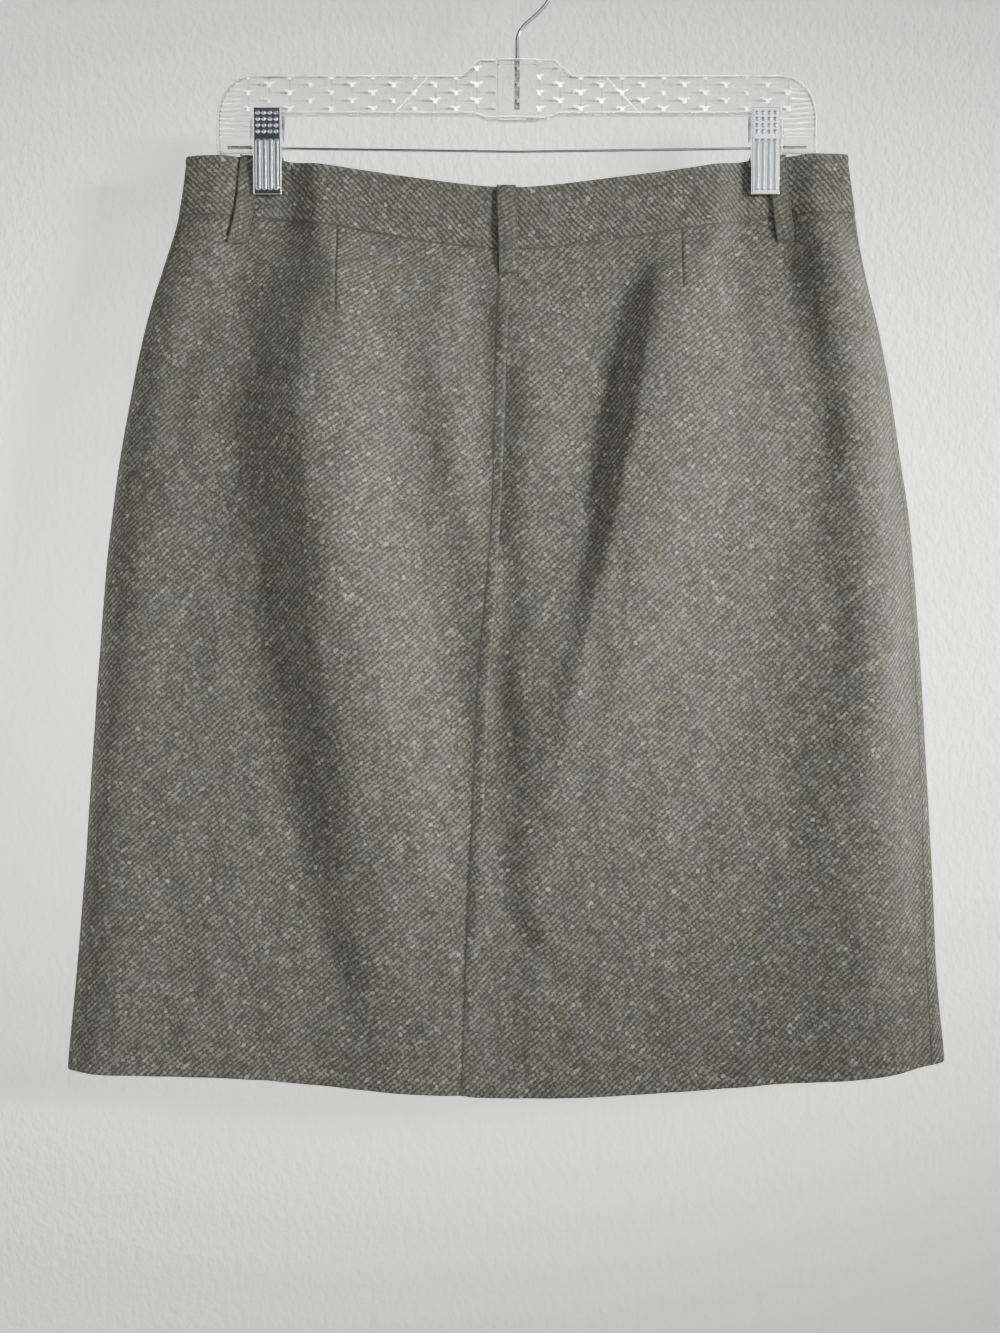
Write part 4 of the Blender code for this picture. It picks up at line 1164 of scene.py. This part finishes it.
def capsules(starts, ends, radius, normals):
    # a six-sided spindle from each start to its end: rings at 0, 12, 50, 88 and 100 per cent
    along = ends - starts
    length = np.linalg.norm(along, axis=1, keepdims=True)
    along = along / length
    side = np.cross(normals, along)
    side = side / np.linalg.norm(side, axis=1, keepdims=True)
    up = np.cross(along, side)
    rings = np.array([[0.0, 0.25], [0.12, 0.85], [0.5, 1.0], [0.88, 0.85], [1.0, 0.25]])
    turns = np.linspace(0, 2 * math.pi, 7)[:-1]
    wheel = np.cos(turns)[None, None, :, None] * side[:, None, None, :]
    wheel = wheel + np.sin(turns)[None, None, :, None] * up[:, None, None, :]
    centre = starts[:, None, None, :] + (along * length)[:, None, None, :] * rings[None, :, None, :1]
    points = centre + radius * rings[None, :, None, 1:] * wheel
    count = len(rings) * len(turns)
    quads = gridFaces(len(rings), len(turns), closedColumns=True)[:, ::-1]
    caps = [tuple(range(len(turns))), tuple(range(count - len(turns), count))[::-1]]
    offsets = (np.arange(len(starts)) * count)[:, None, None]
    body = (quads[None] + offsets).reshape(-1, 4).tolist()
    closing = (np.array(caps)[None] + offsets).reshape(-1, len(turns)).tolist()
    return points.reshape(-1, 3), body + closing


stitch = dict(length=2.2, pitch=3.0, radius=0.17, first=0.4, samples=900)


def readAlong(run, values, at):
    # the three columns of values where the run reaches each place
    return np.stack([np.interp(at, run, values[:, k]) for k in range(3)], axis=1)


def stitchRow(angles, drops, out, relief):
    # starts, ends and normals of stitches along a line of cloth places, laid in its groove
    base = clothPoint(angles, drops)
    normal = clothNormal(angles, drops)
    line = base + normal * (relief(angles, base[:, 0], drops) + out)[:, None]
    run = np.concatenate([[0], np.cumsum(np.linalg.norm(np.diff(line, axis=0), axis=1))])
    starts = np.arange(stitch["first"], run[-1] - stitch["length"], stitch["pitch"])
    ends = readAlong(run, line, starts + stitch["length"])
    return readAlong(run, line, starts), ends, readAlong(run, normal, starts)


lapDrops = np.linspace(bandHeight + 15.0, lapSeam["ends"] - 4.0, 400)
lapAngles = angleAt(centreSeam(lapDrops) + lapSeam["strip"] - 0.5, lapDrops)
rows = [stitchRow(lapAngles, lapDrops, panelShape["wall"] / 2 - 0.05, clothRelief)]
bandDrops = np.full(stitch["samples"], bandShape["stitchAt"])
for fromEdge, toEdge, inset in ((leftAngle, rightAngle, 0.05), (rightAngle, leftAngleRound, 0.12)):
    low, high = (float(edge(bandShape["stitchAt"])) for edge in (fromEdge, toEdge))
    bandAngles = np.linspace(low + inset, high - inset, stitch["samples"])
    rows.append(stitchRow(bandAngles, bandDrops, bandShape["wall"] / 2 - 0.12, bandRelief))
starts, ends, normals = (np.concatenate(part) for part in zip(*rows))
addPiece("topStitching", *capsules(starts, ends, stitch["radius"], normals), thread, "wool_twill")
print("stitches made")


# ---- hanger: one profile carried along the leg, corner, bar, boss, bar, corner and leg ----

hanger = dict(
    half=177.8, rim=hangerRim, web=1.2, depth=3.0, barTop=-75.9, barBottom=-99.0, legInner=156.0,
    legBottom=-121.4, cornerWide=21.0, cornerHigh=26.0, innerCorner=5.0, pocketBottom=-112.0,
    bossTop=-66.4, bossBottom=-101.9, upperSlant=(22.5, 32.5), underSlant=(17.8, 25.0), bossHalf=11.0,
    bossDepth=4.5,
)


def pairs(x, z):
    # places (x, z) as rows
    return np.stack(np.broadcast_arrays(x, z), axis=1)


def hangerEdges():
    # matching points of the outer and the inner edge, from the right leg's foot to the left one's:
    # a straight leg, a quarter of an ellipse, and the bar, which steps out along two slants
    h = hanger
    turn = np.linspace(0, math.pi / 2, 22)[1:]
    mirror = np.array([-1.0, 1.0])
    edges = []
    shapes = (
        ("half", "barTop", "cornerWide", "cornerHigh", "upperSlant", "bossTop"),
        ("legInner", "barBottom", "innerCorner", "innerCorner", "underSlant", "bossBottom"),
    )
    for keys in shapes:
        x, z, wide, high, slant, bossZ = (h[key] for key in keys)
        leg = pairs(x, h["legBottom"] + np.linspace(0, 1, 20) * (z - high - h["legBottom"]))
        corner = pairs(x - wide + wide * np.cos(turn), z - high + high * np.sin(turn))
        across = (x - wide) * (1 - 2 * np.linspace(0, 1, 300)[1:])
        bar = pairs(across, np.interp(np.abs(across), slant, (bossZ, z)))
        edges.append(np.concatenate([leg, corner, bar, corner[::-1][1:] * mirror, leg[::-1] * mirror]))
    return edges


def makeHanger():
    # the profile, rim and thin web by turns, set square to the two edges and closed at both feet
    outer, inner = hangerEdges()
    width = np.linalg.norm(inner - outer, axis=1)[:, None]
    rim = hanger["rim"]
    # distances from the outer edge over the viewer's face, then back over the far face
    edge = np.array([0.0, 0.12, 0.45, rim - 0.35, rim, rim + 0.35])
    web = np.linspace(0, 1, 16)[1:-1]
    front = np.concatenate(
        [edge + 0 * width, (rim + 0.35) + web * (width - 2 * rim - 0.7), width - edge[::-1]], axis=1
    )
    level = np.array([0.82, 0.95, 1.0, 1.0, 0.55, 0.0])
    blockTop = np.concatenate([level, 0 * web, level[::-1]])
    spots = outer[:, None, :] + (inner - outer)[:, None, :] * (front / width)[..., None]
    x, z = spots[..., 0], spots[..., 1]
    boss = smooth((hanger["bossHalf"] + 0.7 - np.abs(x)) / 1.4)
    closed = smooth((hanger["pocketBottom"] - z + 2.5) / 5.0) * (np.abs(x) > hanger["legInner"] - 6)
    flat = blockTop[None, :]
    plain = hanger["web"] + flat * (hanger["depth"] - hanger["web"])
    solid = np.maximum(boss * hanger["bossDepth"] * (0.94 + 0.06 * flat), 0)
    viewer = np.maximum(plain * (1 - boss) + solid, closed * hanger["depth"])
    nearSide = np.stack([x, -viewer, z], axis=-1)
    farSide = np.stack([x, viewer, z], axis=-1)[:, ::-1]
    ring = np.concatenate([nearSide, farSide], axis=1)
    rows, columns = ring.shape[:2]
    faces = gridFaces(rows, columns, closedColumns=True)
    half = nearSide.shape[1]
    faces = faces.tolist()
    for row, flip in ((0, False), (rows - 1, True)):
        first = row * columns
        last = first + columns - 1
        cap = [(first + k, first + k + 1, last - 1 - k, last - k) for k in range(half - 1)]
        faces += [quad[::-1] for quad in cap] if flip else cap
    return ring.reshape(-1, 3), faces


def tube(points, radius, up, sides=16, tip=0.6):
    # a round rod along points; its ends are drawn in over four short rings
    points = np.asarray(points, float)
    tangent = np.gradient(points, axis=0)
    tangent = tangent / np.linalg.norm(tangent, axis=1, keepdims=True)
    up = np.broadcast_to(np.asarray(up, float), points.shape)
    side = np.cross(tangent, up)
    side = side / np.linalg.norm(side, axis=1, keepdims=True)
    up = np.cross(side, tangent)
    angles = np.linspace(0, math.pi / 2, 5)
    size = np.concatenate([np.sin(angles[:-1]), np.ones(len(points)), np.cos(angles[1:])])
    size[0] = size[-1] = 0.12
    reach = radius * tip
    start = points[0] - tangent[0] * (reach * np.cos(angles[:-1]))[:, None]
    end = points[-1] + tangent[-1] * (reach * np.sin(angles[1:]))[:, None]
    centres = np.concatenate([start, points, end])
    first = np.concatenate([np.repeat(side[:1], 4, 0), side, np.repeat(side[-1:], 4, 0)])
    second = np.concatenate([np.repeat(up[:1], 4, 0), up, np.repeat(up[-1:], 4, 0)])
    turns = np.linspace(0, 2 * math.pi, sides + 1)[:-1]
    wheel = np.cos(turns)[None, :, None] * first[:, None] + np.sin(turns)[None, :, None] * second[:, None]
    rings = centres[:, None] + radius * size[:, None, None] * wheel
    faces = gridFaces(len(rings), sides, closedColumns=True)[:, ::-1].tolist()
    last = (len(rings) - 1) * sides
    faces += [tuple(range(sides)), tuple(range(last, last + sides))[::-1]]
    return rings.reshape(-1, 3), faces


def joined(parts):
    # several (points, faces) as one
    points, faces, offset = [], [], 0
    for some, quads in parts:
        points.append(np.asarray(some, float))
        faces += [tuple(index + offset for index in quad) for quad in quads]
        offset += len(some)
    return np.concatenate(points), faces


def rod(start, end, radius):
    # a straight tube of twelve places with nearly flat ends
    return tube(np.linspace(start, end, 12), radius, (0.0, 1.0, 0.0), 24, 0.05)


def bore(piece, cutters):
    # the piece with the rods cut out of it, as plain mesh data
    tool = addPiece("borer", *joined(cutters), steel, "steel_wire")
    cut = piece.modifiers.new("bore", "BOOLEAN")
    cut.operation = "DIFFERENCE"
    cut.solver = "EXACT"
    cut.object = tool
    graph = bpy.context.evaluated_depsgraph_get()
    mesh = bpy.data.meshes.new_from_object(piece.evaluated_get(graph))
    piece.modifiers.clear()
    piece.data = mesh
    bpy.data.objects.remove(tool, do_unlink=True)


wire = dict(radius=0.9, half=171.0, endZ=-118.6, sag=2.2)
hookShape = dict(radius=1.4, loop=21.6, foot=-96.0, knee=-56.0, start=-32.0, tip=200.0, handles=(11.0, 13.0))


def wireZ(x):
    # straight down from each leg to the middle by the sag
    return wire["endZ"] - wire["sag"] * np.maximum(0.0, 1 - np.abs(x) / hanger["legInner"])


points, faces = makeHanger()
hangerBody = addPiece("hangerBody", points, faces, clear, "clear_plastic", ["hanger_body"], smoothShade=False)
wireHole = wire["radius"] + layerGap
stemFoot, stemTop = hookShape["foot"] - layerGap, hanger["bossTop"] + 5
holes = [rod((0, 0, stemFoot), (0, 0, stemTop), hookShape["radius"] + layerGap)]
for side in (1, -1):
    holeEnds = [side * (hanger["legInner"] - 5), side * (wire["half"] + layerGap)]
    inward, outward = ((x, 0, wire["endZ"]) for x in sorted(holeEnds))
    holes.append(rod(inward, outward, wireHole))
bore(hangerBody, holes)
hangerBody.visible_shadow = False
hangerEdge = np.concatenate(hangerEdges())
spots = np.array_split(placesOf(hangerBody)[:, [0, 2]], 40)
rimAway = [np.sqrt(((some[:, None] - hangerEdge[None]) ** 2).sum(axis=-1).min(axis=1)) for some in spots]
setField(hangerBody, "rimAway", np.concatenate(rimAway))
print("hanger made", len(hangerBody.data.polygons))


def hookRoute():
    # straight stem, a cubic neck, and the loop as an arc about its own centre
    centreZ = hookShape["radius"] - hookShape["loop"]
    start = math.radians(hookShape["start"])
    meet = np.array([hookShape["loop"] * math.cos(start), centreZ + hookShape["loop"] * math.sin(start)])
    toward = np.array([math.sin(start), -math.cos(start)])
    low, high = hookShape["handles"]
    handles = np.array([[0, hookShape["knee"]], [0, hookShape["knee"] + low], meet + high * toward, meet])
    t = np.linspace(0, 1, 40)[:, None]
    weights = np.concatenate([(1 - t) ** 3, 3 * t * (1 - t) ** 2, 3 * t * t * (1 - t), t**3], axis=1)
    neck = weights @ handles
    turns = np.radians(np.linspace(hookShape["start"], hookShape["tip"], 90))[1:]
    loop = np.stack([hookShape["loop"] * np.cos(turns), centreZ + hookShape["loop"] * np.sin(turns)], axis=1)
    stem = np.stack([np.zeros(12), np.linspace(hookShape["foot"], hookShape["knee"], 13)[:-1]], axis=1)
    route = np.concatenate([stem, neck, loop])
    return np.stack([route[:, 0], 0 * route[:, 0], route[:, 1]], axis=1)


hookTube = tube(hookRoute(), hookShape["radius"], (0, 1, 0), 24, 0.5)
addPiece("hookWire", *hookTube, steel, "steel_wire", ["hook"])
xs = np.linspace(-wire["half"], wire["half"], 240)
line = np.stack([xs, 0 * xs, wireZ(xs)], axis=1)
addPiece("barWire", *tube(line, wire["radius"], (0, 1, 0), 16, 0.5), steel, "steel_wire", ["hanger_wire"])

# ---- clips: a stamped front and rear plate with ears round the wire, and a coil between them ----

plate = dict(
    half=8.5, wall=0.9, top=-97.3, bottom=-147.7, spread=8.4, rearJaw=2.95, frontJaw=4.65, ribPitch=3.56,
    ribTop=-115.9, ribBottom=-144.8, ribHalf=1.12, ribStand=0.55, dotTop=-100.5, dotPitch=3.6, dotRadius=1.05,
    dotStand=0.55, flange=1.7, earHalf=3.6, earPast=3.0, corner=0.9,
)
coil = dict(turns=8.5, ring=2.05, half=4.1, radius=0.42)


def platePress(a, z):
    # four upright ribs with round ends and four rows of four domes, as heights over the plate
    column = (np.round(a / plate["ribPitch"] - 0.5) + 0.5).clip(-1.5, 1.5)
    da = a - column * plate["ribPitch"]
    past = np.maximum(np.maximum(z - plate["ribTop"] + 1, plate["ribBottom"] + 1 - z), 0)
    rib = smooth((plate["ribHalf"] + 0.25 - np.sqrt(da**2 + past**2)) / 0.6)
    row = np.round((plate["dotTop"] - z) / plate["dotPitch"]).clip(0, 3)
    dz = z - (plate["dotTop"] - row * plate["dotPitch"])
    dome = np.sqrt(np.clip(1 - (da**2 + dz**2) / plate["dotRadius"] ** 2, 0, 1))
    return plate["ribStand"] * rib + plate["dotStand"] * dome


def makePlate(x, jaw, facing, earIn):
    # a strip from one ear over the face to the other, row by row from the finger end to the jaw
    height = plate["top"] - plate["bottom"]
    slope = (plate["spread"] - 1.0 - jaw) / height
    top, bottom = plate["top"], plate["bottom"]
    z = np.concatenate([[top], np.linspace(top - 0.25, bottom + 0.25, 150), [bottom]])[:, None]
    earZ = wireZ(x)
    base = jaw + 1.0 + slope * (z - plate["bottom"])
    ear = smooth((plate["earHalf"] + 1.2 - np.abs(z - earZ)) / 1.6)
    reach = plate["flange"] + ear * (base + plate["earPast"] - plate["flange"])
    half = plate["half"] - earIn * ear
    face = np.linspace(-1, 1, 64)[None, :]
    corner, wall = plate["corner"], plate["wall"]
    flat = half - corner
    run = np.linspace(0, 1, 7)[None, :0:-1]
    turn = np.linspace(0, math.pi / 2, 5)[None, :0:-1]
    level = 0 * z + 0 * face
    # outer line: up one flange, round its corner, over the face, round, and down the other flange
    bend = 1 - np.cos(turn)
    leftX = np.concatenate([-half + 0 * run, -flat - corner * np.sin(turn)], axis=1)
    leftY = np.concatenate([corner + (reach - corner) * run, corner * bend + 0 * z], axis=1)
    outerX = np.concatenate([leftX, face * flat, -leftX[:, ::-1]], axis=1)
    outerY = np.concatenate([leftY, level, leftY[:, ::-1]], axis=1)
    # inner line: the same a wall further in, with a corner of almost no radius
    inLeftX = np.concatenate([wall - half + 0 * run, -flat - (corner - wall + 0.05) * np.sin(turn)], axis=1)
    inLeftY = np.concatenate([leftY[:, : run.shape[1]], wall + 0.05 * bend + 0 * z], axis=1)
    innerX = np.concatenate([inLeftX, face * flat, -inLeftX[:, ::-1]], axis=1)
    innerY = np.concatenate([inLeftY, wall + level, inLeftY[:, ::-1]], axis=1)
    stand = platePress(outerX, z) * (np.abs(outerX) < flat + 0.01)
    endThin = 0.25 * ((z > plate["top"] - 0.1) | (z < plate["bottom"] + 0.1))
    outer = np.stack([x + outerX, -base + outerY - stand + endThin, z + 0 * outerX], axis=-1)
    inner = np.stack([x + innerX, -base + innerY, z + 0 * innerX], axis=-1)
    if facing > 0:
        outer[..., 1] *= -1
        inner[..., 1] *= -1
    rows, columns = outer.shape[:2]
    quads = gridFaces(rows, columns)
    count = rows * columns
    index = np.arange(count).reshape(rows, columns)
    loop = np.concatenate([index[0, :], index[1:, -1], index[-1, -2::-1], index[-2:0:-1, 0]])
    nextOne = np.roll(loop, -1)
    rim = np.stack([loop, nextOne, nextOne + count, loop + count], axis=1)
    faces = np.concatenate([quads, quads[:, ::-1] + count, rim])
    if facing > 0:
        faces = faces[:, ::-1]
    return np.concatenate([outer.reshape(-1, 3), inner.reshape(-1, 3)]), faces.tolist()


def makeSpring(x):
    # a coil about the wire, its turns spread evenly over its length
    t = np.linspace(0, 1, 240)
    angle = 2 * math.pi * coil["turns"] * t
    up = np.stack([0 * t, np.cos(angle), np.sin(angle)], axis=1)
    middle = np.stack([x + coil["half"] * (2 * t - 1), 0 * t, wireZ(x) + 0 * t], axis=1)
    return tube(middle + coil["ring"] * up, coil["radius"], up, 8, 0.6)


for name, x in zip(("clip_left", "clip_right"), clipHolds["x"]):
    hole = rod((x - 11, 0, float(wireZ(x - 8.5))), (x + 11, 0, float(wireZ(x + 8.5))), wireHole)
    for word, facing, earIn in (("front", -1, 0.0), ("rear", 1, 1.3)):
        shape = makePlate(x, plate[word + "Jaw"], facing, earIn)
        pressed = addPiece(f"{name}_{word}Plate", *shape, zinc, "zinc_plate", [f"{name}_{word}"])
        bore(pressed, [hole])
        spots = placesOf(pressed)
        setField(pressed, "press", platePress(spots[:, 0] - x, spots[:, 2]) / plate["ribStand"])
    addPiece(f"{name}_coil", *makeSpring(x), steel, "steel_wire", [f"{name}_spring"])
print("clips made")

# ---- each piece of cloth's flat width, length and area, printed ----

for name, (piece, flat, area) in clothSizes.items():
    min(area, flat[0] * flat[1])
    print("cut", name, [round(value, 3) for value in flat], round(area, 4))

# ---- stage: a pale plastered wall that glows as painted light, a pale floor, and soft lights ----

stage = dict(
    wallY=cadBox[1][1] / mm + 5.0, floorZ=-900.0, side=2500, near=-3000, top=1500,
    card=(-1750, -150, -2500, -500, 1300),
)


def plaster():
    # pale paint with the low bumps of a roller, which glows as painted light, brightest at a spot behind the
    # skirt's middle and fading outwards, so that the shadows on it are lifted; seen from behind it isn't there
    material, tree, shader = newMaterial("glowingPaintedWall", Base_Color=(0.88, 0.875, 0.86), Roughness=0.6)
    source = objectPlace(tree)
    # the glow's fall-off from its spot behind the skirt's middle: painted light
    spread = vector(tree, "SUBTRACT", source, (0.05, 0.0, -0.42))
    spread = vector(tree, "MULTIPLY", spread, (1.0, 0.0, 1.5))
    fall = calc(tree, "SQRT", vector(tree, "DOT_PRODUCT", spread, spread))
    drawn = vector(tree, "MULTIPLY", source, (240.0, 240.0, 150.0))
    grain = noise(tree, drawn, 1.0, 2.0) + noise(tree, source, 420.0, 2.0) * 0.25
    feed(
        shader, Emission_Color=(1.0, 0.995, 0.97), Normal=bumped(tree, grain, 1.0, 2.6),
        Emission_Strength=span(tree, fall, 0.15, 0.70, 1.66, 0.27, soft=True),
    )
    behind = addNode(tree, "NewGeometry", output="Backfacing")
    painted = NodeValue(tree, shader.outputs[0])
    blend = addNode(tree, "MixShader", behind, painted, addNode(tree, "BsdfTransparent"))
    join(tree, blend, tree.nodes["Material Output"].inputs["Surface"])
    return material


def plane(name, corners, material):
    # one face over four corners in millimetres, part of the stage
    mesh = bpy.data.meshes.new(name)
    mesh.from_pydata([tuple(value * mm for value in corner) for corner in corners], [], [(0, 1, 2, 3)])
    mesh.materials.append(material)
    made = bpy.data.objects.new(name, mesh)
    bpy.context.scene.collection.objects.link(made)
    return made


def upright(left, right, y, low, high):
    # the corners of a plane that faces -Y
    return [(left, y, low), (right, y, low), (right, y, high), (left, y, high)]


y, low, side = stage["wallY"], stage["floorZ"], stage["side"]
plane("wall", upright(-side, side, y, low, stage["top"]), plaster())
floorMaterial, _, _ = newMaterial("paleFloor", Base_Color=(0.78, 0.775, 0.76), Roughness=0.7)
near = stage["near"]
plane("floor", [(-side, near, low), (side, near, low), (side, y, low), (-side, y, low)], floorMaterial)
cardMaterial, _, _ = newMaterial("darkCard", Base_Color=(0.075, 0.08, 0.088), Roughness=0.9)
card = plane("darkCard", upright(*stage["card"]), cardMaterial)
card.visible_camera = False


def areaLight(name, place, aim, size, power, color=(1.0, 1.0, 1.0), spread=180.0):
    # a rectangle in metres and watts, turned to its aim
    light = bpy.data.lights.new(name, "AREA")
    light.shape = "RECTANGLE"
    light.size, light.size_y = size
    light.energy = power
    light.spread = math.radians(spread)
    light.color = color
    lamp = bpy.data.objects.new(name, light)
    lamp.location = place
    lamp.rotation_euler = (Vector(aim) - Vector(place)).to_track_quat("-Z", "Y").to_euler()
    bpy.context.scene.collection.objects.link(lamp)


middle = (0.0, 0.0, -0.42)
areaLight("keyLight", (1.9, -1.02, -0.05), (-0.2, 0.0, -0.4), (0.45, 0.4), 2.95, (1.0, 0.99, 0.96), 27.0)
areaLight("fillLight", (0.9, -2.3, 0.55), middle, (1.3, 1.15), 7.8, (0.96, 0.98, 1.0))
areaLight("leftLight", (-1.9, -1.1, -0.1), middle, (1.2, 1.4), 15.8, (1.0, 0.98, 0.94))
areaLight("behindLight", (-0.8, 1.6, 0.3), middle, (1.2, 1.2), 14.0)
world = bpy.data.worlds.new("studio")
world.use_nodes = True
world.node_tree.nodes["Background"].inputs[0].default_value = (0.86, 0.9, 1.0, 1.0)
world.node_tree.nodes["Background"].inputs[1].default_value = 0.24
bpy.context.scene.world = world

print("cad box", [[round(v / mm, 1) for v in corner] for corner in cadBox])
